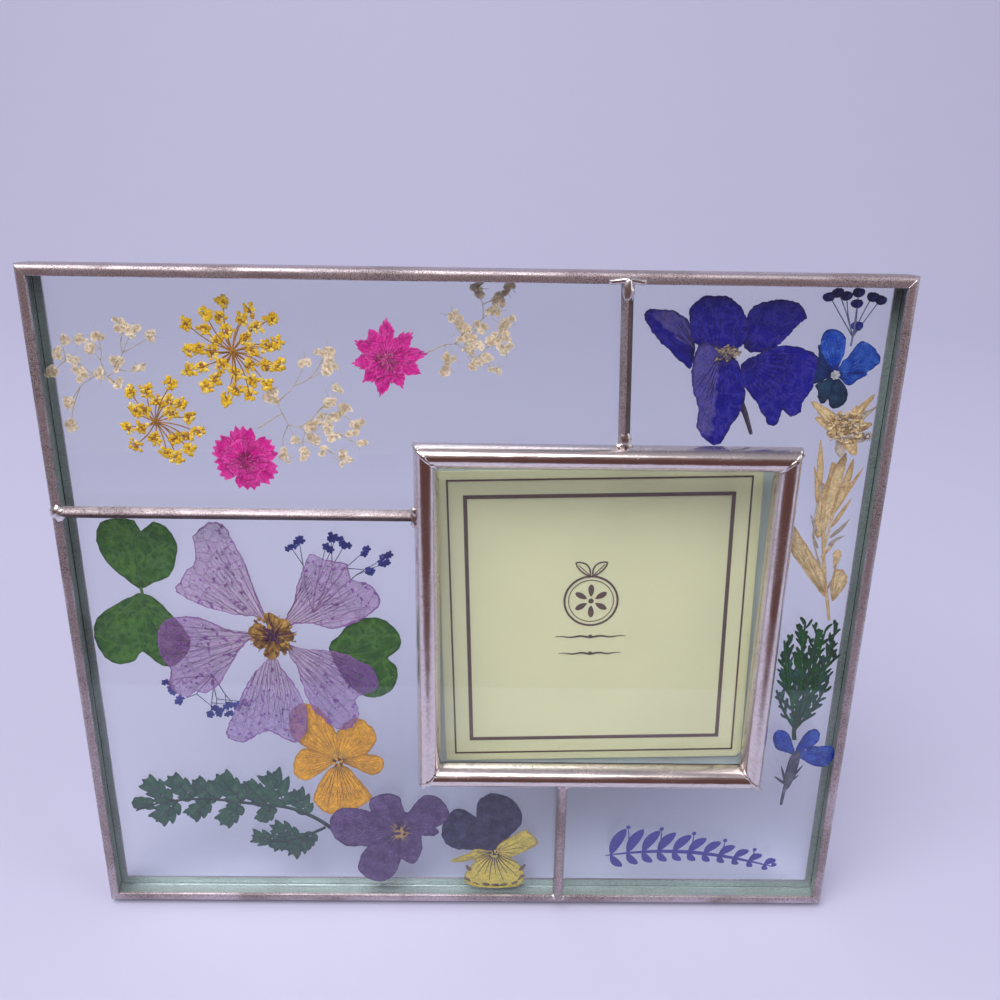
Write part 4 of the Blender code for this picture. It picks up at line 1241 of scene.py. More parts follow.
class PRESSED_OT_back(FrameOperator):
    """The board, its channels, the hinge and the easel leg"""

    bl_idname = "pressed_frame.back"
    bl_label = "Back and easel"

    def build(self, metal, flowers):
        board = leatherette_material("board covering", metal.board, (0.05, 0.05, 0.055))
        steel = hinge_metal(metal)
        for name, material in (
            ("easel_leg", board), ("hinge_bracket", steel), ("hinge_pin", steel),
            ("backing_channel_left", tin(metal)), ("backing_channel_right", tin(metal)),
            ("backing_channel_bottom", tin(metal)),
        ):
            mesh = NODES[name].data
            mesh.materials.clear()
            mesh.materials.append(material)
        self.board(board, paper_material("board liner", srgb(206, 212, 206), srgb(170, 176, 170), 0.3))
        self.leg_border(board)
        self.rivets(steel)

    def board(self, covering, liner):
        """The board with a pale liner in front and a raised line pressed into the covering on its back."""
        low, high = plane_box("backing_board")
        piece = Piece("covered_board")
        outline = even_outline(plate_outline("backing_board"), 1.0)
        middle = outline.mean(0)
        rings = [(0.25, low.y), (0, low.y + 0.25), (0, high.y - 0.35), (0.15, high.y - 0.1), (0.4, high.y)]
        points = []
        for inset, depth in rings:
            away = outline - middle
            shrink = 1 - inset / np.maximum(np.abs(away).max(1), 1.0)
            points += [(x, depth, z) for x, z in middle + away * shrink[:, None]]
        size = len(outline)
        faces = [tuple(range(size)), tuple(range(4 * size, 5 * size))]
        paint = [1, 0]
        for i in range(4):
            for k in range(size):
                a, b = i * size + k, i * size + (k + 1) % size
                faces.append((a, b, b + size, a + size))
                paint.append(0)
        piece.add(points, faces, [(0, 0.5, 1)] * len(points), paint)
        inset = 6.0
        depth = high.y + 0.02
        left, right, bottom, top = low.x + inset, high.x - inset, low.z + inset, high.z - inset - 6
        for start, end, _ in corners_of(left, right, bottom, top):
            start, end = Vector((start[0], depth, start[1])), Vector((end[0], depth, end[1]))
            strand(piece, [start.lerp(end, k / 40) for k in range(41)], 0.35, 0.35, 0, 8, 0.45)
        piece.make([covering, liner], "backing_board", ["backing_board"], sharp_deg=30)

    def leg_border(self, material):
        """A raised line round the leg's back, between two shares of its height."""
        mesh = NODES["easel_leg"].data
        points = [v.co.copy() for v in mesh.vertices]
        normal = max(mesh.polygons, key=lambda face: face.area * (face.normal.y > 0.3)).normal
        back = max(p.dot(normal) for p in points)
        face_points = [p for p in points if p.dot(normal) > back - 0.0001]
        top = max(p.z for p in face_points)
        low = min(p.z for p in face_points)
        centre = sum((p.x for p in face_points)) / len(face_points)
        foot_half = max(p.x for p in face_points if p.z < low + 0.002) - centre
        head_half = max(p.x for p in face_points if p.z > top - 0.004) - centre
        foot = next(p for p in face_points if p.z < low + 0.002)
        head = next(p for p in face_points if p.z > top - 0.004)
        piece = Piece("leg_border")
        inset, proud = 3.2 * MM, 0.02 * MM
        corners = []
        for level, sign in ((LEG_LINE_LOW, -1), (LEG_LINE_LOW, 1), (LEG_LINE_HIGH, 1), (LEG_LINE_HIGH, -1)):
            spot = foot.lerp(head, level)
            half_here = foot_half + (head_half - foot_half) * level - inset
            corners.append(Vector((centre + sign * half_here, spot.y, spot.z)) + normal * proud)
        for i in range(4):
            start, end = TO_PLANE @ corners[i], TO_PLANE @ corners[(i + 1) % 4]
            strand(piece, [start.lerp(end, k / 30) for k in range(31)], 0.3, 0.3, 0, 8, 1.0)
        piece.make([material], "backing_board", body="leg")

    def rivets(self, material):
        """Four domed rivets through the hinge plate."""
        low, high = plane_box("hinge_bracket")
        plate_back = plane_box("backing_board")[1].y + HINGE_GAP + HINGE_PLATE
        piece = Piece("bracket_rivets")
        for x in (low.x + 4.5, high.x - 4.5):
            for z in (low.z + 2.2, high.z - 2.4):
                lump(piece, (x, plate_back, z), (1.25, 0.65, 1.25), x + z, 0.02, 0, 3)
        piece.make([material], "hinge_steel")


# ---------------------------------------------------------------- flowers


def outline_petal(node, materials, slot, depth, hub, seed, relief=0.06, rough=0.2, rib_count=0,
                  rib_radius=0.05, spacing=0.5, thickness=0.1, claw=0.0):
    """One petal or leaf over the outline of its CAD plate, with raised veins.

    A claw is how near its narrow foot comes to the hub.
    """
    piece = Piece(node + "_pressed")
    outline = plate_outline(node)
    if claw:
        near = min(range(len(outline)), key=lambda i: math.dist(outline[i], hub))
        foot = Vector(hub).lerp(Vector(outline[near]), claw / math.dist(outline[near], hub))
        side = Vector((foot.y - hub[1], hub[0] - foot.x)).normalized() * 0.45
        ends = [tuple(foot + side), tuple(foot - side)]
        before = Vector(outline[near - 1])
        if (before - Vector(ends[0])).length > (before - Vector(ends[1])).length:
            ends.reverse()
        outline[near:near + 1] = ends
    sheet(piece, outline, depth, hub, thickness, spacing, relief, rough, 0, seed)
    if rib_count:
        ribs(piece, outline, hub, depth - thickness / 2 - 0.01, rib_count, rib_radius, int(seed))
    return piece, lambda: piece.make(materials, slot, [node])


def wedge_petal(piece, outline, hub, start_deg, end_deg, depth, seed, tuck=0.25, relief=0.05, rough=0.15,
                rib_count=7, paint=0, rib_paint=1, rib_radius=0.045, spacing=0.45, thickness=0.08):
    """One petal of a flower whose CAD plate is a single outline."""
    shape = petal_of(outline, hub, start_deg, end_deg, tuck)
    sheet(piece, shape, depth, hub, thickness, spacing, relief, rough, paint, seed)
    if rib_count:
        ribs(piece, shape, hub, depth - thickness / 2 - 0.01, rib_count, rib_radius, int(seed), rib_paint)


MALLOW_HUB = (-38.0, 62.0)
UMBEL_HUB = (-41.5, 117.0)


class PRESSED_OT_mallow(FrameOperator):
    """The mallow's five petals, its heart and the three heart-shaped leaves behind it"""

    bl_idname = "pressed_frame.mallow"
    bl_label = "Mallow"

    def build(self, metal, flowers):
        vein = pressed("mallow vein", flowers.mallow_vein, flecks=0.1, strength=0.1, alpha=0.9)
        petals = (
            ("mallow_petal_upper_left", 7, 9, 0.0, (190, 146, 190)),
            ("mallow_petal_upper_right", 11, 11, 0.05, (174, 124, 178)),
            ("mallow_petal_left", 15, 12, -0.03, (158, 108, 168)),
            ("mallow_petal_low", 19, 9, -0.05, (160, 122, 190)),
            ("mallow_petal_low_right", 23, 10, 0.04, (150, 106, 176)),
        )
        for name, seed, count, lift, tone in petals:
            body = pressed(
                name.replace("_", " "), srgb(*tone), heart=srgb(206, 164, 180), rim=srgb(132, 92, 150),
                vein=flowers.mallow_vein, fleck=srgb(104, 58, 132), reach=0.75, rim_width=0.35, veins=4.5,
                vein_width=0.05, strength=0.5, flecks=0.42, mottle=0.45, alpha=0.36, bump=0.4,
                faded=srgb(120, 66, 140), creases=0.3,
            )
            piece, make = outline_petal(
                name, [body, vein], "mallow_petal", MIDDLE + lift, MALLOW_HUB, seed, 0.07, 0.3, count, 0.055,
                claw=3.0, spacing=0.42,
            )
            make()
        self.heart()
        leaf = pressed("heart leaf", flowers.heart_leaf, rim=srgb(28, 62, 26), vein=srgb(40, 74, 34),
                       reach=0.2,
                       fleck=srgb(34, 78, 44), veins=5.0, strength=0.3, flecks=0.3, mottle=0.75, bump=0.6,
                       faded=srgb(104, 128, 72), creases=0.22)
        leaf_vein = pressed("heart leaf vein", srgb(84, 116, 62), strength=0.1)
        for name, hub, seed in (
            ("heart_leaf_upper", (-62.8, 71.5), 31), ("heart_leaf_lower", (-62.8, 70.2), 35),
            ("heart_leaf_right", (-26.0, 57.0), 39),
        ):
            piece, make = outline_petal(name, [leaf, leaf_vein], "green_leaf", BACK, hub, seed, 0.07, 0.12, 8,
                                        0.07)
            if name == "heart_leaf_upper":
                stalk(piece, [(-62.8, 71.8), (-62.6, 70.2)], BACK, 0.3, 0.3, 1)
            make()

    def heart(self):
        """A knot of dried sepals and stamens, dark purple in its middle."""
        chance = random.Random(41)
        golden = pressed("dried heart", srgb(196, 150, 70), fleck=srgb(112, 60, 30), flecks=0.6, mottle=0.6,
                         bump=0.9)
        purple = pressed("dried heart middle", srgb(84, 34, 76), fleck=srgb(40, 18, 40), flecks=0.4,
                         mottle=0.5)
        ochre = pressed("dried heart sepal", srgb(134, 92, 44), fleck=srgb(70, 36, 22), flecks=0.6,
                        mottle=0.7, bump=0.8)
        piece = Piece("mallow_heart_pressed")
        for i in range(8):
            angle = math.tau * i / 8 + chance.uniform(-0.25, 0.25)
            reach = chance.uniform(3.9, 5.3)
            tip = polar(MALLOW_HUB, reach, angle)
            shape = blade(MALLOW_HUB, tip, chance.uniform(2.2, 3.2), 0.7, 0.4, chance.uniform(-0.4, 0.4))
            sheet(piece, shape, 3.14 + 0.03 * (i % 3), MALLOW_HUB, 0.1, 0.35, 0.08, 0.35,
                  chance.choice((0, 2)), i)
        for i in range(90):
            reach = 4.5 * chance.random() ** 0.7
            angle = chance.random() * math.tau
            size = chance.uniform(0.3, 0.8) * (1.1 - reach * 0.1)
            centre = deep_polar(MALLOW_HUB, reach, angle, HEART_FRONT + chance.uniform(-0.14, 0.06))
            near = reach < 1.7
            lump(piece, centre, (size, 0.2, size * 0.6), i * 2.3, 0.9,
                 1 if near else chance.choice((0, 0, 2)), 2, angle)
        for i in range(26):
            angle = math.tau * i / 26 + chance.uniform(-0.15, 0.15)
            start = polar(MALLOW_HUB, 1.0, angle)
            end_reach = chance.uniform(3.0, 5.0)
            end = polar(MALLOW_HUB, end_reach, angle + 0.1)
            stalk(piece, [start, end], 2.86, 0.14, 0.06, chance.choice((0, 1, 2)), 3)
        piece.make([golden, purple, ochre], "dried_heart", ["mallow_heart"])


class PRESSED_OT_larkspur(FrameOperator):
    """The large blue larkspur with its faded patches, spur and cream stamens"""

    bl_idname = "pressed_frame.larkspur"
    bl_label = "Larkspur"

    def build(self, metal, flowers):
        common = dict(
            heart=srgb(24, 12, 90), rim=srgb(8, 6, 76), vein=srgb(4, 4, 80), fleck=srgb(36, 34, 150),
            reach=0.3,
            veins=7.0, vein_width=0.1, strength=0.35, flecks=0.3, mottle=0.45, faded=flowers.faded_blue,
            bump=0.6,
            roughness=0.5, creases=0.14,
        )
        plain = pressed("larkspur petal", flowers.ultramarine, **common)
        folded = pressed("larkspur petal folded", flowers.ultramarine, fade=0.75, side=-1.6, **common)
        crumpled = pressed("larkspur petal crumpled", flowers.ultramarine, fade=0.7, side=-2.2, **common)
        vein = pressed("larkspur vein", srgb(6, 8, 74), strength=0.1, flecks=0.1)
        for name, body, depth, hub, seed, count in (
            ("larkspur_petal_left", folded, BACK, (41.5, 116.5), 51, 9),
            ("larkspur_petal_top", plain, MIDDLE, (43.5, 117.0), 53, 10),
            ("larkspur_petal_right", plain, BACK, (47.0, 117.5), 57, 9),
            ("larkspur_petal_long", crumpled, FRONT, (44.5, 118.5), 59, 9),
            ("larkspur_petal_ragged", plain, MIDDLE, (47.5, 117.0), 61, 11),
        ):
            piece, make = outline_petal(
                name, [body, vein], "ultramarine_petal", depth, hub, seed, 0.09, 0.3, count, 0.06
            )
            make()
        spur = pressed("larkspur spur", srgb(74, 66, 84), fleck=srgb(40, 34, 50), mottle=0.6)
        piece = Piece("larkspur_spur_pressed")
        stalk(piece, [(48.6, 109.2), (49.7, 107), (50.5, 105), (51.2, 103.2)], BACK, 0.62, 0.3, 0, 5, 8)
        piece.make([spur], "plum_petal", ["larkspur_spur"])
        self.stamens()

    def stamens(self):
        chance = random.Random(67)
        cream = pressed("larkspur stamens", srgb(172, 150, 120), fleck=srgb(96, 74, 60), flecks=0.4,
                        mottle=0.5)
        dusk = pressed("larkspur throat", srgb(96, 84, 96), fleck=srgb(50, 40, 60), flecks=0.4, mottle=0.5)
        piece = Piece("larkspur_stamens")
        for i in range(26):
            angle = chance.uniform(0, math.tau)
            reach = chance.uniform(0.9, 2.4)
            foot = (44.8 + 0.4 * math.cos(angle * 2), 118.0)
            bend = (foot[0] + reach * 0.6 * math.cos(angle + 0.4),
                    foot[1] + reach * 0.55 * math.sin(angle + 0.4))
            end = (foot[0] + reach * math.cos(angle), foot[1] + reach * 0.8 * math.sin(angle))
            stalk(piece, [foot, bend, end], 2.82, 0.11, 0.07, i % 3 == 0, 3)
            lump(piece, (end[0], 2.8, end[1]), (0.24, 0.09, 0.16), i, 0.5, i % 4 == 0, 2, angle)
        for i in range(9):
            spot = (44.6 + chance.uniform(-1.4, 1.4), 2.86, 118.0 + chance.uniform(-1.1, 1.0))
            lump(piece, spot, (0.55, 0.12, 0.4), i + 40, 0.6, 1, 2, i)
        piece.make([cream, dusk], "cream_blossom")


class PRESSED_OT_small_larkspur(FrameOperator):
    """The small blue larkspur and the spray of buds above it"""

    bl_idname = "pressed_frame.small_larkspur"
    bl_label = "Small larkspur and buds"

    def build(self, metal, flowers):
        outline = plate_outline("small_larkspur")
        hub = (65.0, 114.2)
        common = dict(rim=srgb(8, 26, 96), vein=srgb(8, 24, 96), fleck=srgb(60, 110, 200), veins=6.0,
                      strength=0.4, flecks=0.45, mottle=0.7, bump=0.6)
        cobalt = pressed("small larkspur petal", flowers.cobalt, heart=srgb(10, 30, 90), **common)
        vein = pressed("small larkspur vein", srgb(10, 30, 104), strength=0.1)
        dark = pressed("small larkspur shade", srgb(12, 40, 92), fleck=srgb(20, 70, 120), mottle=0.6,
                       flecks=0.3)
        teal = pressed("small larkspur calyx", srgb(14, 38, 66), fleck=srgb(40, 84, 96), mottle=0.6,
                       flecks=0.4)
        white = pressed("small larkspur eye", srgb(206, 206, 208), fleck=srgb(120, 130, 150), mottle=0.3)
        piece = Piece("small_larkspur_pressed")
        for start, end, lift, paint, seed in (
            (150, 208, 0.07, 2, 71), (208, 262, 0.05, 3, 73), (262, 318, 0.02, 3, 75),
            (72, 128, -0.05, 0, 77),
            (118, 152, 0.02, 2, 81), (4, 68, -0.02, 0, 79), (-38, 8, 0.05, 0, 83),
        ):
            wedge_petal(piece, outline, hub, start, end, BACK + lift, seed, 0.3, 0.05, 0.2, 6, paint, 1)
        for i in range(7):
            angle = math.tau * i / 7
            tip = polar(hub, 0.9, angle)
            sheet(piece, blade(hub, tip, 0.7), 3.88, hub, 0.06, 0.3, 0, 0.05, 4, i)
        piece.make([cobalt, vein, dark, teal, white], "cobalt_petal", ["small_larkspur"])

        bud = pressed("bud", srgb(26, 36, 128), rim=srgb(12, 16, 70), fleck=srgb(70, 76, 150), mottle=0.5,
                      flecks=0.4)
        stem = pressed("bud stalk", srgb(110, 116, 150), mottle=0.4)
        piece = Piece("bud_spray_pressed")
        fork = (67.0, 121.0)
        stalk(piece, [(66.9, 119.4), fork], MIDDLE, 0.2, 0.17, 1)
        for i, spot in enumerate((
            (62.2, 127.7), (63.6, 128.4), (65, 127.9), (67, 128.5), (67, 126.6), (69.4, 127.8), (70.8, 127.3),
            (67.5, 122.8),
        )):
            spot = Vector(spot)
            middle = Vector(fork).lerp(spot, 0.55) + Vector((0.25 * math.sin(i * 2.1), 0))
            stalk(piece, [fork, middle, spot], MIDDLE, 0.13, 0.09, 1)
            turn = math.atan2(spot.y - middle.y, spot.x - middle.x)
            for k in range(3):
                spread = turn + (k - 1) * 0.5
                tip = (spot.x + 1.4 * math.cos(spread), spot.y + 0.9 * math.sin(spread))
                back = polar(spot, -0.7, turn)
                sheet(piece, blade(back, tip, 1.4, 0.75, 0.6), MIDDLE - 0.06 + 0.06 * k, back, 0.08, 0.3,
                      0.03, 0.1, 0, i + k)
        piece.make([bud, stem], "ultramarine_petal", ["bud_spray"])


class PRESSED_OT_straw_flower(FrameOperator):
    """The straw-coloured flower, its stem with thin side sprays and its two leaves"""

    bl_idname = "pressed_frame.straw_flower"
    bl_label = "Straw flower"

    def build(self, metal, flowers):
        chance = random.Random(91)
        straw = pressed("straw bract", flowers.straw, heart=srgb(190, 158, 116), rim=srgb(186, 146, 96),
                        vein=srgb(140, 116, 92), fleck=srgb(170, 120, 70), veins=8.0, strength=0.6,
                        flecks=0.3, mottle=0.4, bump=0.9)
        rib = pressed("straw rib", srgb(140, 112, 78), strength=0.1)
        brown = pressed("straw shade", srgb(176, 142, 98), fleck=srgb(96, 70, 46), mottle=0.6, flecks=0.5)
        grey = pressed("straw fade", srgb(206, 190, 176), fleck=srgb(120, 100, 88), mottle=0.5, flecks=0.3)
        materials = [straw, rib, brown, grey]
        piece = Piece("straw_head_pressed")
        hub = (67.5, 103.6)
        bracts = (
            ((61.0, 109.6), 2.0, 0), ((63.8, 108.4), 1.7, 3), ((66.4, 107.9), 2.2, 0),
            ((69.4, 109.0), 1.8, 0),
            ((72.3, 111.2), 1.5, 0), ((73.0, 108.9), 1.2, 3), ((72.6, 105.6), 1.9, 0),
            ((72.0, 102.6), 2.3, 3),
            ((70.4, 99.7), 2.4, 0), ((67.6, 99.3), 2.2, 3), ((64.4, 103.8), 2.0, 0), ((62.2, 106.6), 1.8, 0),
            ((70.6, 106.9), 2.0, 2), ((65.4, 105.9), 1.6, 2),
        )
        for i, (tip, width, paint) in enumerate(bracts):
            shape = blade(hub, tip, width, 0.55, 0.7, chance.uniform(-0.3, 0.3))
            depth = 3.0 + 0.05 * (i % 4)
            sheet(piece, shape, depth, hub, 0.07, 0.35, 0.07, 0.2, paint, 90 + i)
            ribs(piece, shape, hub, depth - 0.05, 3, 0.05, i, 1, 0.25, False)
        for i in range(130):
            angle, reach = chance.uniform(0, math.tau), 3.3 * chance.random() ** 0.5
            depth = 2.92 + chance.uniform(-0.06, 0.1)
            spot = (hub[0] + 0.5 + reach * math.cos(angle), depth,
                    hub[1] + 1.2 + reach * 0.85 * math.sin(angle))
            radii = (chance.uniform(0.25, 0.6), 0.16, 0.22)
            lump(piece, spot, radii, i, 0.8, chance.choice((0, 0, 0, 2, 3)), 2, chance.uniform(0, 3))
        knot = (72.0, 103.3)
        for i in range(12):
            angle = math.tau * i / 12
            stalk(piece, [polar(knot, 0.3, angle), polar(knot, 0.95, angle)], TUFT_DEPTH - 0.02, 0.12, 0.06,
                  2, 2)
        piece.make(materials, "straw", ["straw_flower_head"])

        piece = Piece("straw_stem_pressed")
        sheet(piece, blade((69.0, 100.0), (65.9, 83.0), 3.3, 0.7, 0.5, -0.5), BACK, (69.0, 100.0), 0.1, 0.4,
              0.06, 0.2, 0, 3)
        sheet(piece, blade((70.5, 98.8), (68.0, 87.6), 1.5, 0.6, 0.6, 0.3), BACK - 0.08, (70, 99), 0.08, 0.4,
              0.05, 0.1, 0, 4)
        stalk(piece, [(67.0, 98), (66.2, 90), (66.9, 84), (68.0, 76.5), (69.2, 71.5), (70.3, 66.2)], BACK,
              0.42, 0.3, 0)
        stalk(piece, [(65.6, 94), (65.0, 88.4), (65.3, 82.5), (67.7, 76.4)], BACK + 0.05, 0.26, 0.2, 3)
        stalk(piece, [(68.4, 92), (68.0, 86), (67.5, 81), (68.4, 76)], BACK - 0.05, 0.26, 0.2, 0)
        for base, tip, width in (
            ((68.3, 88.4), (72.6, 97.2), 0.95), ((68.2, 85.4), (71.3, 91.4), 0.8),
            ((68.1, 83.2), (71.5, 87.2), 0.75),
            ((68, 81.6), (71.1, 83.8), 0.7), ((64.9, 90), (63.4, 97.4), 0.9),
            ((64.9, 93), (64.0, 102.4), 1.2),
            ((65.6, 84.4), (64.0, 88.0), 0.6), ((67.0, 79.2), (69.4, 82.6), 0.55),
            ((66.2, 81.0), (64.6, 84.2), 0.5),
            ((69, 72.6), (70.9, 76.3), 0.6), ((66.6, 87), (65.4, 92.5), 0.7),
        ):
            shape = blade(base, tip, width, 0.4, 0.8, chance.uniform(-0.3, 0.3))
            sheet(piece, shape, BACK - 0.06 + chance.uniform(-0.05, 0.05), base, 0.08, 0.3, 0.04, 0.08,
                  chance.choice((0, 0, 3)), base[1])
        piece.make(materials, "straw", ["straw_stem"])
        for name, hub, seed in (("straw_leaf_long", (68.7, 71.3), 95), ("straw_leaf_torn", (70.0, 70.3), 97)):
            piece, make = outline_petal(name, materials, "straw", MIDDLE, hub, seed, 0.08, 0.25, 4, 0.05,
                                        0.35)
            make()


class PRESSED_OT_fern(FrameOperator):
    """The fern frond, with finger-like leaflets on both sides of its midrib"""

    bl_idname = "pressed_frame.fern"
    bl_label = "Fern"

    def build(self, metal, flowers):
        chance = random.Random(101)
        green = pressed("fern tip", flowers.fern, rim=srgb(6, 40, 18), fleck=srgb(30, 96, 40), flecks=0.3,
                        mottle=0.4)
        teal = pressed("fern low", flowers.fern_low, rim=srgb(24, 54, 50), fleck=srgb(60, 110, 90),
                       flecks=0.3, mottle=0.4)
        rib = pressed("fern rib", srgb(30, 66, 48), strength=0.1)
        piece = Piece("fern_frond_pressed")
        outline = plate_outline("fern_frond")
        root = Vector((66.6, 39.5))
        stalk(piece, [tuple(root), (66.3, 41.5), (66.5, 44)], MIDDLE, 0.5, 0.42, 2)
        limbs = (
            ((66.4, 42), 118, 10.5), ((66.4, 42.5), 101, 20), ((66.4, 43), 92, 24), ((66.6, 43), 86, 22),
            ((66.5, 42), 77, 24),
            ((66.6, 42), 64, 12), ((65.4, 47), 103, 16), ((66.6, 50), 95, 15), ((67.4, 51), 80, 14),
            ((67.8, 48), 71, 12),
        )
        for order, (foot, heading, reach) in enumerate(limbs):
            heading = math.radians(heading)
            sway = 0.05 * reach * math.cos(heading) * 2
            across = Vector((-math.sin(heading), math.cos(heading)))
            along = Vector((math.cos(heading), math.sin(heading)))
            knots = [Vector(foot) + along * reach * t - across * sway * math.sin(math.pi * t)
                     for t in (0, 0.25, 0.5, 0.75, 1)]
            line = curve(knots, 8)
            depth = MIDDLE + 0.09 * ((order % 3) - 1)
            stalk(piece, line[::3], depth, 0.34, 0.22, 0 if order > 5 else 2, 1, 6)
            count = max(5, int(reach / 1.5))
            for k in range(count):
                share = 0.12 + 0.84 * (k + 0.5) / count
                start = line[int(share * (len(line) - 1))]
                turn = heading + (1 if k % 2 else -1) * math.radians(chance.uniform(24, 40) - 8 * share)
                length = chance.uniform(2.6, 4.8) * (1.1 - 0.45 * share)
                if inside(np.array([tuple(start)]), np.array(outline))[0]:
                    length = max(1.2, min(length, reach_of(outline, tuple(start), turn) * 0.97))
                elif share > 0.3:
                    continue
                high = start.y + length * 0.5
                paint = 0 if high > 54 + chance.uniform(-4, 4) else 1
                end = polar(start, length, turn)
                shape = blade(tuple(start), end, chance.uniform(0.5, 0.85), 0.35, 0.35,
                              chance.uniform(-0.25, 0.25))
                sheet(piece, shape, depth + chance.uniform(-0.06, 0.06), tuple(start), 0.09, 0.4, 0.03, 0.08,
                      paint, k + order)
                if length > 2.6:
                    fork = start.lerp(Vector(end), 0.45)
                    twig = turn + (-1 if k % 2 else 1) * math.radians(36)
                    size = chance.uniform(1.1, 1.8)
                    point = polar(fork, size, twig)
                    sheet(piece, blade(tuple(fork), point, 0.7, 0.35, 0.4), depth, tuple(fork), 0.08, 0.4, 0,
                          0.05, paint, k)
        piece.make([green, teal, rib], "green_leaf", ["fern_frond"])


class PRESSED_OT_lobelia(FrameOperator):
    """The lobelia's petals on their grey-purple calyx"""

    bl_idname = "pressed_frame.lobelia"
    bl_label = "Lobelia"

    def build(self, metal, flowers):
        outline = plate_outline("lobelia")
        hub = (66.9, 36.2)
        blue = pressed("lobelia petal", flowers.lobelia, heart=srgb(40, 54, 140), rim=srgb(4, 24, 100),
                       vein=srgb(14, 30, 110), fleck=srgb(56, 100, 190), flecks=0.5, mottle=0.8, strength=0.5,
                       reach=0.15, creases=0.35)
        vein = pressed("lobelia vein", srgb(26, 40, 104), strength=0.1)
        calyx = pressed("lobelia calyx", srgb(58, 56, 88), fleck=srgb(120, 120, 130), mottle=0.6, flecks=0.4)
        piece = Piece("lobelia_pressed")
        for start, end, lift, seed in ((92, 165, 0.0, 111), (30, 88, 0.05, 113), (-34, 30, -0.04, 115)):
            wedge_petal(piece, outline, hub, start, end, FRONT + lift, seed, 0.3, 0.05, 0.2, 6)
        sheet(piece, blade((65.9, 27.6), (67.3, 37.2), 2.3, 0.5, 0.35), FRONT - 0.08, (65.9, 27.6), 0.1, 0.35,
              0.05, 0.1, 2, 4)
        stalk(piece, [(65.5, 24.0), (65.6, 26), (65.9, 29), (66.2, 31)], FRONT, 0.3, 0.45, 2)
        for tip in ((63.2, 31.0), (68.4, 31.4), (64.4, 33.6), (69.0, 33.8)):
            sheet(piece, blade((65.9, 29.0), tip, 0.6, 0.4, 0.8), FRONT, (65.9, 29), 0.08, 0.3, 0.03, 0, 2,
                  tip[0])
        piece.make([blue, vein, calyx], "cobalt_petal", ["lobelia"])


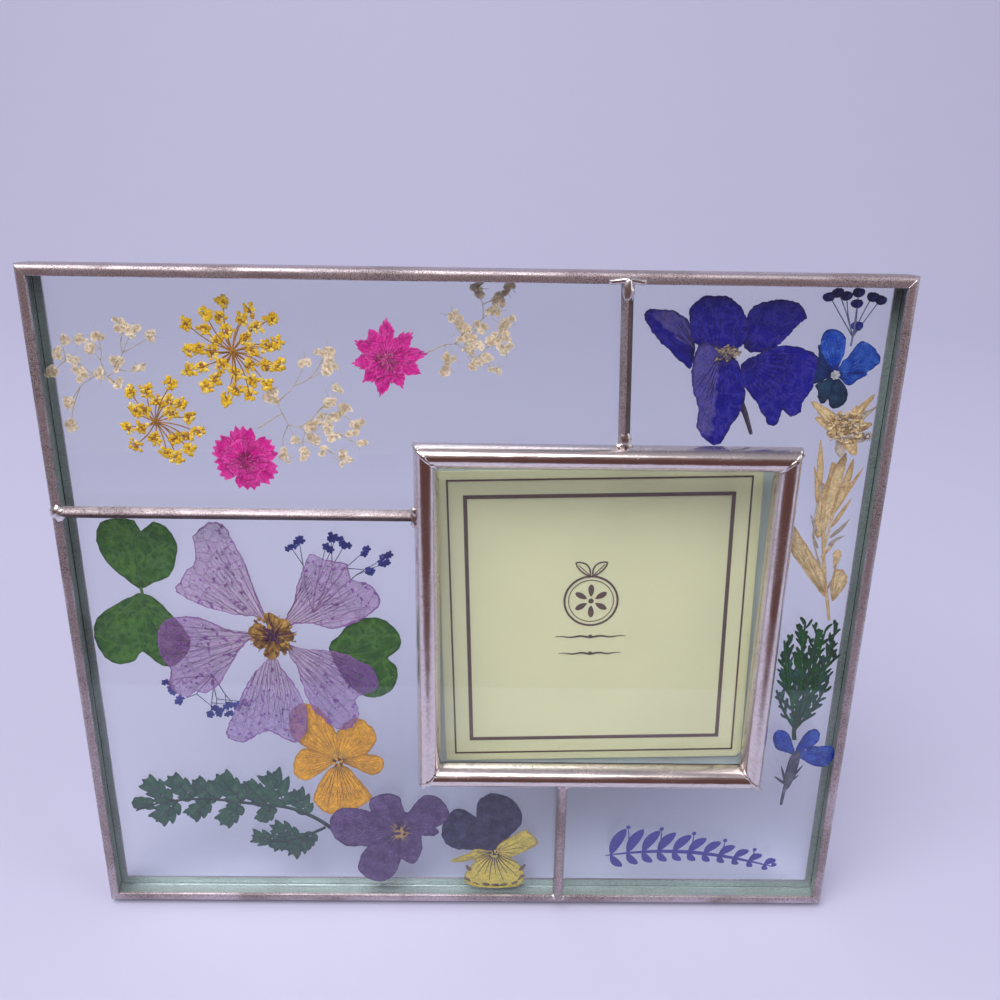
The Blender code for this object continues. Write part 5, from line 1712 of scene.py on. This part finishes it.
class PRESSED_OT_violas(FrameOperator):
    """The golden, the plum and the navy viola"""

    bl_idname = "pressed_frame.violas"
    bl_label = "Violas"

    def build(self, metal, flowers):
        self.golden(flowers)
        self.plum(flowers)
        self.navy(flowers)

    def golden(self, flowers):
        hub = (-26.7, 33.4)
        gold = pressed("golden petal", flowers.golden, heart=srgb(214, 170, 70), rim=srgb(150, 100, 30),
                       vein=srgb(120, 76, 30), fleck=srgb(150, 100, 40), veins=6.0, strength=0.4, flecks=0.22,
                       mottle=0.4, bump=0.5, alpha=0.96)
        vein = pressed("golden vein", srgb(140, 92, 34), strength=0.1)
        dark = pressed("golden streak", srgb(84, 48, 30), strength=0.1)
        upper = plate_outline("golden_viola_upper")
        piece = Piece("golden_viola_upper_pressed")
        for start, end, lift, seed in ((88, 158, 0.06, 121), (12, 92, 0.02, 123), (155, 224, -0.06, 125),
                                       (-36, 14, -0.04, 127)):
            wedge_petal(piece, upper, hub, start, end, BACK + lift, seed, 0.25, 0.05, 0.2, 7)
        piece.make([gold, vein], "golden_petal", ["golden_viola_upper"])
        lower, make = outline_petal(
            "golden_viola_lower", [gold, dark], "golden_petal", MIDDLE, (-26.7, 33.6), 129, 0.06, 0.2, 9, 0.06
        )
        throat = (hub[0], 33.2)
        for i in range(14):
            lump(lower, deep_polar(throat, 0.7, i * CROWD_TURN, THROAT_DEPTH), (0.45, 0.1, 0.3), i, 0.6,
                 i % 2, 2, i)
        make()

    def plum(self, flowers):
        chance = random.Random(131)
        hub = (-14.2, 16.4)
        outline = plate_outline("plum_viola")
        plum = pressed("plum petal", flowers.plum, heart=srgb(80, 58, 96), rim=srgb(62, 44, 90),
                       vein=srgb(50, 34, 74),
                       fleck=srgb(128, 104, 150), veins=6.0, strength=0.5, flecks=0.26, mottle=0.5, bump=0.6)
        vein = pressed("plum vein", srgb(56, 38, 84), strength=0.1)
        fibre = pressed("plum fibre", srgb(176, 140, 96), fleck=srgb(110, 76, 60), flecks=0.4, mottle=0.5)
        piece = Piece("plum_viola_pressed")
        for start, end, lift, seed in (
            (78, 142, 0.08, 133), (8, 82, 0.05, 135), (136, 210, -0.02, 137), (264, 370, 0.0, 139),
            (206, 268, -0.06, 141),
        ):
            wedge_petal(piece, outline, hub, start, end, FRONT + lift, seed, 0.28, 0.05, 0.2, 9)
        for i in range(34):
            angle, reach = chance.uniform(0, math.tau), chance.uniform(0.8, 2.9)
            end = polar(hub, reach, angle)
            stalk(piece, [hub, end], 2.88, 0.1, 0.05, 2, 2, 4)
        for i in range(14):
            spot = (hub[0] + chance.uniform(-1.1, 1.1), 2.86, hub[1] + chance.uniform(-1.1, 1.1))
            lump(piece, spot, (0.5, 0.1, 0.35), i, 0.6, 2 if i % 3 else 1, 2, i)
        piece.make([plum, vein, fibre], "plum_petal", ["plum_viola"])

    def navy(self, flowers):
        hub = (5.7, 11.0)
        navy = pressed("navy petal", flowers.navy, heart=srgb(40, 34, 70), rim=srgb(40, 36, 84),
                       vein=srgb(28, 26, 60),
                       fleck=srgb(86, 84, 124), veins=6.0, strength=0.5, flecks=0.26, mottle=0.5, bump=0.6)
        vein = pressed("navy vein", srgb(34, 30, 66), strength=0.1)
        lemon = pressed("lemon petal", flowers.lemon, heart=srgb(214, 176, 60), rim=srgb(150, 128, 70),
                        vein=srgb(120, 96, 70), fleck=srgb(150, 132, 84), veins=5.0, strength=0.3,
                        flecks=0.25, mottle=0.4, bump=0.5)
        ray = pressed("lemon ray", srgb(44, 30, 62), strength=0.1)
        dusky = pressed("lemon petal edge", srgb(120, 104, 84), fleck=srgb(80, 66, 70), mottle=0.7,
                        flecks=0.5)
        upper = plate_outline("navy_viola_upper")
        piece = Piece("navy_viola_upper_pressed")
        wedge_petal(piece, upper, hub, 34, 118, BACK + 0.03, 143, 0.25, 0.05, 0.2, 9)
        wedge_petal(piece, upper, hub, 112, 180, BACK - 0.06, 145, 0.25, 0.05, 0.2, 9)
        piece.make([navy, vein], "navy_petal", ["navy_viola_upper"])

        lower = plate_outline("navy_viola_lower")
        piece = Piece("navy_viola_lower_pressed")
        wedge_petal(piece, lower, hub, 166, 206, MIDDLE + 0.04, 147, 0.3, 0.05, 0.15, 4, 0, 1, 0.06)
        wedge_petal(piece, lower, hub, -22, 62, MIDDLE + 0.02, 149, 0.3, 0.05, 0.15, 4, 0, 1, 0.06)
        wedge_petal(piece, lower, hub, 203, 342, MIDDLE - 0.05, 151, 0.25, 0.05, 0.15, 0)
        for i in range(11):
            angle = math.radians(212 + 118 * i / 10)
            reach = reach_of(lower, hub, angle) * (0.62 if i % 2 else 0.8)
            mid = polar(hub, reach * 0.5, angle)
            end = polar(hub, reach, angle + 0.05)
            stalk(piece, [hub, mid, end], MIDDLE - 0.1, 0.13, 0.05, 1, 3, 5)
        for i in range(9):
            angle = math.radians(218 + 108 * i / 8)
            reach = reach_of(lower, hub, angle) * 0.9
            spot = deep_polar(hub, reach, angle, MIDDLE - 0.08)
            lump(piece, spot, (0.95, 0.05, 0.4), i, 0.7, 2, 2, angle + math.pi / 2)
        throat = (hub[0], hub[1] - 0.4)
        for i in range(12):
            lump(piece, deep_polar(throat, 0.6, i * CROWD_TURN, THROAT_DEPTH), (0.42, 0.1, 0.3), i, 0.6,
                 1 if i % 3 == 0 else 0, 2, i)
        piece.make([lemon, ray, dusky], "lemon_petal", ["navy_viola_lower"])


class PRESSED_OT_parsley(FrameOperator):
    """The grey-green leaf: leaflets of several pointed lobes on two stems"""

    bl_idname = "pressed_frame.parsley"
    bl_label = "Parsley leaf"

    def build(self, metal, flowers):
        chance = random.Random(161)
        green = pressed("parsley leaflet", flowers.parsley, rim=srgb(40, 58, 66), vein=srgb(36, 56, 54),
                        fleck=srgb(84, 108, 96), veins=4.0, strength=0.5, flecks=0.3, mottle=0.55, bump=0.7)
        rib = pressed("parsley rib", srgb(46, 62, 62), strength=0.1)
        piece = Piece("parsley_leaf_pressed")
        long_stem = curve([(-28.8, 16.4), (-32.5, 19.2), (-38, 21.6), (-46, 22.6), (-55, 23.6), (-64, 22.6),
                           (-69.5, 20.6)], 10)
        short_stem = curve([(-30.2, 16.6), (-33.5, 14.9), (-38, 13.2), (-43.5, 12.9)], 8)
        stalk(piece, long_stem[::3], BACK, 0.45, 0.2, 1, 2)
        stalk(piece, short_stem[::2], BACK, 0.35, 0.18, 1, 2)
        leaflets = (
            ((-33.5, 19.8), (-36.2, 26.2), 3.4), ((-38, 21.6), (-41.4, 30.6), 4.6),
            ((-42, 22.2), (-46.6, 28.0), 4.4),
            ((-47, 22.6), (-51.8, 29.6), 4.8), ((-52, 23.2), (-57, 28.2), 4.4),
            ((-57, 23.5), (-62, 29.0), 4.4),
            ((-62, 23), (-67.2, 28.2), 4.2), ((-65.5, 22.2), (-70.0, 22.6), 3.6),
            ((-41, 22), (-43.8, 17.8), 3.4),
            ((-47.5, 22.5), (-52, 17.4), 4.0), ((-54, 23.2), (-58.6, 18.8), 3.6),
            ((-60.5, 23), (-65.8, 17.6), 4.0),
            ((-33.5, 14.9), (-38.2, 9.6), 3.4), ((-37, 13.6), (-42.0, 11.6), 3.2),
            ((-35.8, 14.0), (-41.6, 17.0), 3.2),
            ((-40, 13.0), (-46.0, 14.6), 3.0), ((-32.6, 15.4), (-35.2, 11.2), 2.4),
        )
        for i, (foot, tip, width) in enumerate(leaflets):
            foot, tip = Vector(foot), Vector(tip)
            along = tip - foot
            side = left_of(along)
            depth = BACK + 0.08 * ((i % 3) - 1)
            stalk(piece, [tuple(foot), tuple(foot.lerp(tip, 0.5)), tuple(foot.lerp(tip, 0.9))], depth - 0.05,
                  0.17, 0.07, 1, 3)
            lobes = [(0.08, -0.95), (0.08, 0.95), (0.3, -0.75), (0.3, 0.75), (0.52, -0.5), (0.52, 0.5),
                     (0.5, 0.0)]
            for k, (start, lean) in enumerate(lobes):
                base = foot.lerp(tip, start)
                direction = (along.normalized() + side * lean * 1.2).normalized()
                share = chance.uniform(0.48, 0.58)
                short = 0.8 if abs(lean) > 0.9 else 1
                point = base + direction * along.length * share * short
                shape = blade(tuple(base), tuple(point), width * 0.46, 0.5, 0.85, chance.uniform(-0.2, 0.2))
                sheet(piece, shape, depth + 0.03 * (k % 2), tuple(base), 0.08, 0.4, 0.04, 0.1, 0, i * 5 + k)
                if abs(lean) > 0.4:
                    notch = base.lerp(point, 0.55)
                    nib = notch + (direction + side * (0.9 if lean < 0 else -0.9)).normalized() * width * 0.34
                    sheet(piece, blade(tuple(notch), tuple(nib), width * 0.32, 0.6, 0.8), depth, tuple(notch),
                          0.07, 0.4, 0, 0.05, 0, k)
        piece.make([green, rib], "blue_green_leaf", ["parsley_leaf"])


class PRESSED_OT_umbels(FrameOperator):
    """The two yellow umbels, each of many small heads on rays"""

    bl_idname = "pressed_frame.umbels"
    bl_label = "Umbels"

    def build(self, metal, flowers):
        yellow = pressed("umbel head", flowers.umbel, rim=srgb(206, 150, 30), fleck=srgb(190, 126, 30),
                         flecks=0.4, mottle=0.5, bump=0.8)
        brown = pressed("umbel ray", flowers.umbel_stalk, fleck=srgb(90, 60, 20), strength=0.2)
        pale = pressed("umbel pale head", srgb(250, 216, 100), rim=srgb(206, 156, 50),
                       fleck=srgb(200, 150, 50), mottle=0.5)
        materials = [yellow, brown, pale]
        rings = [(1.0, 13, 8.3), (0.72, 11, 8.6), (0.42, 8, 8.4)]
        large = []
        for share, count, radius in rings:
            for i in range(count):
                angle = math.tau * (i + 0.37 * share) / count
                reach = radius * share * (1 + 0.07 * math.sin(3 * i + 5 * share))
                large.append(polar(UMBEL_HUB, reach, angle))
        self.umbel("umbel_large", UMBEL_HUB, large, materials, 171)
        small = [
            (-60, 109.5), (-57.5, 110), (-53, 111), (-53.5, 108), (-51, 107.5), (-60, 106.5), (-58, 106.3),
            (-53, 105.7), (-50, 105.2), (-49, 102.5), (-51, 101.8), (-53.2, 101.2), (-53, 97.2),
            (-54.8, 98.7),
            (-60, 99.8), (-57, 101), (-61.2, 103.4), (-55.3, 107.8), (-50.6, 99.4), (-58.6, 103.2),
        ]
        self.umbel("umbel_small", (-56.2, 104.2), small, materials, 173)

    def umbel(self, node, centre, heads, materials, seed):
        """Rays from the centre to each head, and a ring of florets on short stalks at each."""
        chance = random.Random(seed)
        piece = Piece(node + "_pressed")
        for i, (x, z) in enumerate(heads):
            x, z = x + chance.uniform(-0.35, 0.35), z + chance.uniform(-0.35, 0.35)
            depth = MIDDLE + chance.uniform(-0.1, 0.1)
            angle = math.atan2(z - centre[1], x - centre[0])
            reach = math.dist((x, z), centre)
            middle = polar(centre, reach * 0.5, angle + 0.12)
            stalk(piece, [centre, middle, (x, z)], depth, 0.13, 0.1, 1, 4, 5)
            lump(piece, (x, depth + 0.03, z), (0.55, 0.12, 0.4), seed + i, 0.7, 1, 2, angle)
            florets = chance.randint(9, 12)
            for k in range(florets):
                turn = math.tau * k / florets + chance.uniform(-0.2, 0.2)
                length = chance.uniform(0.45, 1.25)
                end = polar((x, z), length, turn)
                stalk(piece, [(x, z), end], depth, 0.09, 0.07, 1, 2, 4)
                size = chance.uniform(0.32, 0.52)
                spot = (end[0], depth - 0.03, end[1])
                lump(piece, spot, (size, 0.13, size * 0.8), seed + i + k, 0.9, chance.choice((0, 0, 0, 2)), 2,
                     turn)
            if reach < 7:
                for k in range(3):
                    spot = (x + chance.uniform(-0.6, 0.6), depth - 0.12, z + chance.uniform(-0.6, 0.6))
                    lump(piece, spot, (0.26, 0.08, 0.2), k + i, 0.7, 1, 2, k)
        for i in range(10):
            lump(piece, deep_polar(centre, 0.4, i, MIDDLE - 0.05), (0.3, 0.12, 0.3), i, 0.6, 1)
        piece.make(materials, "yellow_umbel", [node])


class PRESSED_OT_pink_flowers(FrameOperator):
    """The two pink flowers with ragged, overlapping petals"""

    bl_idname = "pressed_frame.pink_flowers"
    bl_label = "Pink flowers"

    def build(self, metal, flowers):
        pink = pressed("pink petal", flowers.magenta, heart=srgb(150, 14, 100), rim=srgb(224, 84, 168),
                       vein=srgb(130, 6, 84), fleck=srgb(224, 84, 168), reach=0.5, veins=4.0, strength=0.7,
                       flecks=0.3, mottle=0.6, bump=0.8, rim_width=0.3, creases=0.2)
        vein = pressed("pink vein", srgb(140, 10, 90), strength=0.1)
        deep = pressed("pink centre", srgb(128, 14, 78), fleck=srgb(226, 120, 170), flecks=0.4, mottle=0.5)
        tips_upper = (
            (-14.3, 123.4), (-10.0, 121.2), (-7.4, 117.6), (-8.2, 113.6), (-12.2, 110.8), (-15.8, 109.2),
            (-18.8, 111.8),
            (-20.8, 115.2), (-20.2, 119.2), (-17.2, 121.6),
        )
        tips_lower = ((-46.2, 100.4), (-40.8, 103.8), (-35.2, 100.8), (-35.2, 94.2), (-40.4, 91.6),
                      (-46.0, 95.4))
        for node, centre, tips, seed in (
            ("pink_flower_upper", (-14.4, 116.3), tips_upper, 181),
            ("pink_flower_lower", (-40.6, 97.4), tips_lower, 183),
        ):
            broad = 2.8 if len(tips) > 6 else 4.7
            chance = random.Random(seed)
            piece = Piece(node + "_pressed")
            for i, tip in enumerate(tips):
                tip = Vector(tip)
                away = tip - Vector(centre)
                for layer, share, width in ((0, 1.0, broad), (1, 0.66, broad * 0.7)):
                    turn = math.radians(chance.uniform(-5, 5) + layer * 18)
                    point = Vector(centre) + Matrix.Rotation(turn, 2) @ away * share
                    shape = self.ragged(centre, point, width, chance)
                    depth = FRONT + 0.1 - 0.12 * layer + 0.05 * (i % 3 - 1)
                    sheet(piece, shape, depth, centre, 0.07, 0.36, 0.06, 0.1, 0, seed + i + layer * 20)
                    ribs(piece, shape, centre, depth - 0.045, 3, 0.05, seed + i, 1, 0.2, False)
            for i in range(30):
                angle, reach = chance.uniform(0, math.tau), 1.9 * chance.random() ** 0.6
                spot = deep_polar(centre, reach, angle, TUFT_DEPTH)
                lump(piece, spot, (0.42, 0.1, 0.2), i, 0.7, chance.choice((0, 2, 2)), 2, angle)
            piece.make([pink, vein, deep], "magenta_petal", [node])

    def ragged(self, base, tip, width, chance):
        """A strap-shaped petal with a torn, toothed end."""
        base, tip = Vector(base), Vector(tip)
        along = tip - base
        side = left_of(along)
        left = [(0.05, 0.1), (0.3, 0.26), (0.52, 0.44), (0.66, 0.5)]
        if width > 3:
            teeth = [(0.9, 0.46), (0.84, 0.32), (1.0, 0.22), (0.88, 0.08), (0.99, -0.06), (0.86, -0.2),
                     (0.95, -0.36)]
        else:
            teeth = [(0.82, 0.4), (0.79, 0.3), (0.93, 0.16), (0.88, 0.1), (1.02, 0.0), (0.87, -0.12),
                     (0.9, -0.2), (0.78, -0.3)]
        right = [(0.66, -0.5), (0.52, -0.44), (0.3, -0.26), (0.05, -0.1)]
        out = []
        for share, half in left + teeth + right:
            share += chance.uniform(-0.025, 0.025)
            out.append(tuple(base + along * share + side * half * width))
        return out


class PRESSED_OT_babys_breath(FrameOperator):
    """Three sprays of cream blossoms on hair-thin stems"""

    bl_idname = "pressed_frame.babys_breath"
    bl_label = "Baby's breath"

    def build(self, metal, flowers):
        cream = pressed("cream blossom", flowers.cream, heart=srgb(200, 170, 120), rim=srgb(232, 216, 190),
                        fleck=srgb(190, 160, 120), flecks=0.45, mottle=0.6, strength=0.4, alpha=0.7,
                        creases=0.3)
        stem = pressed("hair stem", srgb(196, 176, 140), fleck=srgb(150, 126, 90), strength=0.2)
        left = (
            ((-60.5, 109.5), (-64.0, 112.2)),
            ((-71, 118.5), (-68, 118.5), (-65, 119.5), (-60, 120.6), (-72.4, 116), (-73.4, 113),
             (-55.5, 119.4),
             (-65.5, 112.4), (-71, 107.5), (-71.5, 103.2), (-68.5, 112.4), (-62, 114.6), (-58, 114),
             (-62.5, 111), (-60.8, 121.6), (-59, 119.8), (-70, 115.4), (-66.2, 117.0)),
        )
        middle = (
            ((-38.0, 103.2), (-33.6, 106.0)),
            ((-29, 115), (-25.5, 116.6), (-25, 114.2), (-35.4, 109), (-23.5, 110.6), (-25.5, 108),
             (-24, 105.6),
             (-20.4, 104), (-24.5, 102), (-30, 98.6), (-33.6, 98), (-23.2, 97.6), (-19.6, 100.5),
             (-31.5, 101),
             (-28, 101.6), (-27, 105), (-21.4, 102.2), (-26.4, 99.4), (-22.2, 106.8), (-28.6, 103.6),
             (-25.8, 104)),
        )
        right = (
            ((-8.6, 116.6), (-4.4, 118.6)),
            ((-4, 116.5), (-4.2, 114.2), (-1, 121.5), (-0.6, 119.5), (-0.5, 117.5), (-2.6, 123.4),
             (1.0, 128.2),
             (5, 126.5), (6.3, 128.0), (4.5, 125), (6.5, 122.5), (4.5, 119), (6, 118), (4.5, 114.2), (3, 116),
             (1.8, 118.6), (2.2, 121.4), (5.8, 120.6), (0.8, 115.4)),
        )
        for node, (route, blossoms), seed in (
            ("babys_breath_left", left, 191), ("babys_breath_middle", middle, 193),
            ("babys_breath_right", right, 195),
        ):
            chance = random.Random(seed)
            piece = Piece(node + "_pressed")
            root, fork = Vector(route[0]), Vector(route[1])
            stalk(piece, [root, fork], BACK, 0.11, 0.09, 1)
            joints = [fork]
            for i, spot in enumerate(sorted(blossoms, key=lambda p: math.dist(p, fork))):
                spot = Vector(spot)
                start = min(joints, key=lambda p: (p - spot).length + 0.45 * (p - fork).length)
                sway = Vector((chance.uniform(-0.8, 0.8), chance.uniform(-0.5, 0.5)))
                bend = start.lerp(spot, 0.5) + sway
                depth = BACK + chance.uniform(-0.08, 0.08)
                stalk(piece, [start, bend, spot], depth, 0.08, 0.05, 1, 4, 4)
                joints.append(bend)
                size = chance.uniform(0.8, 1.25)
                self.blossom(piece, spot, depth - 0.03, size, chance)
            piece.make([cream, stem], "cream_blossom", [node])

    def blossom(self, piece, spot, depth, size, chance):
        """A crumpled blossom of small overlapping petals."""
        for k in range(chance.randint(5, 7)):
            centre = Vector(spot) + Vector((chance.uniform(-0.7, 0.7),
                                            chance.uniform(-0.6, 0.6))) * size * (k > 0)
            turn = chance.uniform(0, math.tau)
            reach = size * chance.uniform(0.7, 1.35)
            tip = polar(centre, reach, turn)
            back = polar(centre, -reach * 0.5, turn)
            shape = blade(back, tip, reach * chance.uniform(0.7, 1.1), 0.6, 0.3, chance.uniform(-0.4, 0.4), 7)
            sheet(piece, shape, depth + chance.uniform(-0.06, 0.06), back, 0.05, 0.24, 0.1, 0.22, 0,
                  k + spot.x)
            if k % 2:
                lump(piece, (centre.x, depth - 0.06, centre.y), (0.22, 0.07, 0.14), k, 0.8,
                     chance.choice((0, 1)), 2, turn)
            if k < 3:
                hair = polar(centre, 1.5 * reach, turn + 2)
                stalk(piece, [tuple(centre), hair], depth, 0.05, 0.03, 1, 3, 4)


class PRESSED_OT_florets(FrameOperator):
    """The sprigs of tiny blue flowers above and below the mallow"""

    bl_idname = "pressed_frame.florets"
    bl_label = "Blue florets"

    def build(self, metal, flowers):
        blue = pressed("floret", flowers.floret, heart=srgb(90, 96, 160), rim=srgb(26, 32, 100),
                       fleck=srgb(90, 96, 170), flecks=0.3, mottle=0.4)
        stem = pressed("floret stalk", srgb(84, 92, 110), strength=0.2)
        upper = (
            (-30.0, 66.5),
            (((-31.5, 76.5), (-33.6, 80.2), (-32.0, 81.8)), ((-29.3, 72), (-27, 80.4), (-25, 82.2)),
             ((-26, 76.3), (-23.5, 80.6), (-25.9, 82.6)), ((-23.5, 76), (-19.6, 79.6), (-18.4, 75.6)),
             ((-21.5, 74.6), (-16.2, 77), (-15.6, 78.4))),
        )
        lower = (
            (-50.6, 52.6),
            (((-56.4, 52.2), (-60.0, 51.2), (-59.3, 49.6)), ((-54.3, 48.5), (-58.2, 46.8), (-50.2, 44.4)),
             ((-51.5, 46.5), (-48.2, 46.2), (-51.8, 43.8)), ((-50.4, 47.4), (-50.6, 45.2), (-45.0, 46.8)),
             ((-48.6, 48.4), (-46.4, 45.4), (-48.6, 43.8))),
        )
        for node, (root, sprays), seed in (("blue_florets_upper", upper, 201),
                                           ("blue_florets_lower", lower, 203)):
            chance = random.Random(seed)
            piece = Piece(node + "_pressed")
            for fork, *spots in sprays:
                middle = Vector(root).lerp(Vector(fork), 0.5) + Vector((chance.uniform(-0.5, 0.5), 0))
                stalk(piece, [root, middle, fork], BACK, 0.13, 0.1, 1)
                for spot in spots:
                    stalk(piece, [fork, spot], BACK, 0.1, 0.07, 1, 3)
                    for extra in range(3):
                        centre = Vector(spot) + Vector((chance.uniform(-0.9, 0.9),
                                                        chance.uniform(-0.7, 0.7))) * (extra > 0)
                        size = chance.uniform(0.62, 0.95)
                        depth = BACK - 0.04 - 0.03 * extra
                        for k in range(5):
                            turn = math.tau * k / 5 + chance.uniform(-0.25, 0.25)
                            tip = polar(centre, size, turn)
                            shape = blade(tuple(centre), tip, size * 0.7, 0.6, 0.4, 0, 6)
                            sheet(piece, shape, depth, tuple(centre), 0.06, 0.3, 0.04, 0.04, 0, k)
            piece.make([blue, stem], "cobalt_petal", [node])


# ---------------------------------------------------------------- stage

# Metres, in the row frame
KEY_PLACE, KEY_SIZE = (-0.28, -0.3, 0.95), (0.8, 0.65)
FILL_PLACE, FILL_SIZE = (0.9, -0.35, 0.6), (0.6, 0.8)
LAMP_AIM = (0.0, 0.0, 0.06)
KEY_GAIN, FILL_GAIN = 8, 4
KEY_SHADE, FILL_SHADE = (1.0, 0.98, 1.0), (0.95, 0.96, 1.0)
FLOOR_NEAR, FLOOR_FAR, FLOOR_HALF = -1.6, 0.35, 2.2
FLOOR_BEND = 0.4
BACKDROP_TOP = 2.2
# The glowing card that paints a dark reflection into the metal and glass: half its width, its distance in
# front and its top
GLOW_CARD_HALF, GLOW_CARD_PLACE, GLOW_CARD_TOP = 0.45, -0.17, 0.36

# The camera's place, its direction and its upward side in the upright plane, in millimetres
VIEW_PLACE = (3.8, -150.6, 141.0)
VIEW_AXIS = (0.0120, 0.9493, -0.3142)
VIEW_UP = (-0.0115, 0.3132, 0.9496)


class PRESSED_OT_stage(bpy.types.Operator):
    """The pale floor and backdrop, the soft lights, the glowing card that paints reflections and the camera"""

    bl_idname = "pressed_frame.stage"
    bl_label = "Stage"
    bl_options = {"REGISTER", "UNDO"}

    def execute(self, context):
        settings = context.scene.pressed_stage
        floor = self.sweep(settings)
        flag = self.flag(settings)
        self.world(context, settings)
        lamps = [
            self.lamp("key light", KEY_PLACE, KEY_SIZE, settings.key_power * KEY_GAIN, KEY_SHADE),
            self.lamp("fill light", FILL_PLACE, FILL_SIZE, settings.fill_power * FILL_GAIN, FILL_SHADE),
        ]
        camera = self.camera(context, settings)
        context.scene.view_settings.view_transform = "Standard"
        context.scene.view_settings.look = "None"
        return {"FINISHED"}

    def camera(self, context, settings):
        data = bpy.data.cameras.new("camera")
        data.sensor_width = 36
        data.lens = settings.lens
        data.clip_start = 0.005
        camera = bpy.data.objects.new("camera", data)
        context.scene.collection.objects.link(camera)
        turn = TO_ROW.to_3x3().normalized()
        axis = turn @ Vector(VIEW_AXIS)
        up = turn @ Vector(VIEW_UP)
        right = axis.cross(up).normalized()
        up = right.cross(axis).normalized()
        matrix = Matrix((right, up, -axis)).transposed().to_4x4()
        matrix.translation = TO_ROW @ Vector(VIEW_PLACE)
        camera.matrix_world = matrix
        context.scene.camera = camera
        return camera

    def world(self, context, settings):
        made = bpy.data.worlds.new("soft light")
        made.use_nodes = True
        background = made.node_tree.nodes["Background"]
        background.inputs["Color"].default_value = (*settings.world, 1)
        background.inputs["Strength"].default_value = settings.world_strength
        context.scene.world = made

    def lamp(self, name, place, size, power, shade):
        data = bpy.data.lights.new(name, "AREA")
        data.shape = "RECTANGLE"
        data.size, data.size_y = size
        data.energy = power
        data.color = shade
        lamp = bpy.data.objects.new(name, data)
        lamp.location = place
        lamp.rotation_euler = (Vector(LAMP_AIM) - Vector(place)).to_track_quat("-Z", "Y").to_euler()
        bpy.context.scene.collection.objects.link(lamp)
        return lamp

    def sweep(self, settings):
        """A floor that curves up into the backdrop well behind the object."""
        profile = [(FLOOR_NEAR, 0.0), (FLOOR_FAR, 0.0)]
        for i in range(1, 25):
            angle = math.radians(90 * i / 24)
            profile.append((FLOOR_FAR + FLOOR_BEND * math.sin(angle),
                            FLOOR_BEND - FLOOR_BEND * math.cos(angle)))
        profile.append((FLOOR_FAR + FLOOR_BEND, BACKDROP_TOP))
        points = [(x, y, z) for y, z in profile for x in (-FLOOR_HALF, FLOOR_HALF)]
        faces = [(2 * i, 2 * i + 1, 2 * i + 3, 2 * i + 2) for i in range(len(profile) - 1)]
        mesh = bpy.data.meshes.new("floor")
        mesh.from_pydata(points, [], faces)
        mesh.shade_smooth()
        sheet_paper = paper_material("floor sheet", settings.floor, dark_of(settings.floor, 0.97))
        mesh.materials.append(sheet_paper)
        floor = bpy.data.objects.new("floor", mesh)
        bpy.context.scene.collection.objects.link(floor)
        return floor

    def flag(self, settings):
        """A dark brown card in front of the frame that glows though it is no lamp and shows only in
        reflections: a painted dark reflection in the metal and glass.
        """
        mesh = bpy.data.meshes.new("flag")
        corners = [(-GLOW_CARD_HALF, 0.0), (GLOW_CARD_HALF, 0.0), (GLOW_CARD_HALF, GLOW_CARD_TOP), (-GLOW_CARD_HALF, GLOW_CARD_TOP)]
        mesh.from_pydata([(x, GLOW_CARD_PLACE, z) for x, z in corners], [], [(0, 1, 2, 3)])
        made, tree = new_material("glowing reflection card")
        if tree:
            # The card's own brown glow: a painted reflection, not a lamp.
            glow = {"Emission Color": settings.flag, "Emission Strength": 1.0}
            finish_material(tree, {"Base Color": (0, 0, 0), "Roughness": 1.0, **glow})
        mesh.materials.append(made)
        flag = bpy.data.objects.new("flag", mesh)
        flag.visible_camera = False
        flag.visible_diffuse = False
        flag.visible_shadow = False
        flag.visible_transmission = False
        bpy.context.scene.collection.objects.link(flag)
        return flag


OPERATORS = (
    PRESSED_OT_came, PRESSED_OT_dividers, PRESSED_OT_bezel, PRESSED_OT_glass, PRESSED_OT_card,
    PRESSED_OT_sprig,
    PRESSED_OT_back, PRESSED_OT_mallow, PRESSED_OT_larkspur, PRESSED_OT_small_larkspur,
    PRESSED_OT_straw_flower,
    PRESSED_OT_fern, PRESSED_OT_lobelia, PRESSED_OT_violas, PRESSED_OT_parsley, PRESSED_OT_umbels,
    PRESSED_OT_pink_flowers, PRESSED_OT_babys_breath, PRESSED_OT_florets, PRESSED_OT_stage,
)


class PRESSED_PT_panel(bpy.types.Panel):
    """Lists the frame's pieces"""

    bl_idname = "PRESSED_PT_panel"
    bl_label = "Pressed Flower Frame"
    bl_space_type = "VIEW_3D"
    bl_region_type = "UI"
    bl_category = "Pressed Frame"

    def draw(self, context):
        for operator in OPERATORS:
            self.layout.operator(operator.bl_idname)
        for settings in (context.scene.pressed_metal, context.scene.pressed_flowers,
                         context.scene.pressed_stage):
            box = self.layout.box()
            for key in settings.__annotations__:
                box.prop(settings, key)


CLASSES = (PressedMetal, PressedFlowers, PressedStage, *OPERATORS, PRESSED_PT_panel)


def register():
    for item in CLASSES:
        bpy.utils.register_class(item)
    bpy.types.Scene.pressed_metal = PointerProperty(type=PressedMetal)
    bpy.types.Scene.pressed_flowers = PointerProperty(type=PressedFlowers)
    bpy.types.Scene.pressed_stage = PointerProperty(type=PressedStage)


def unregister():
    del bpy.types.Scene.pressed_metal
    del bpy.types.Scene.pressed_flowers
    del bpy.types.Scene.pressed_stage
    for item in reversed(CLASSES):
        bpy.utils.unregister_class(item)


def main():
    register()
    for operator in OPERATORS:
        group, name = operator.bl_idname.split(".")
        getattr(getattr(bpy.ops, group), name)()
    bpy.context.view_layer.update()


if __name__ == "__main__":
    main()
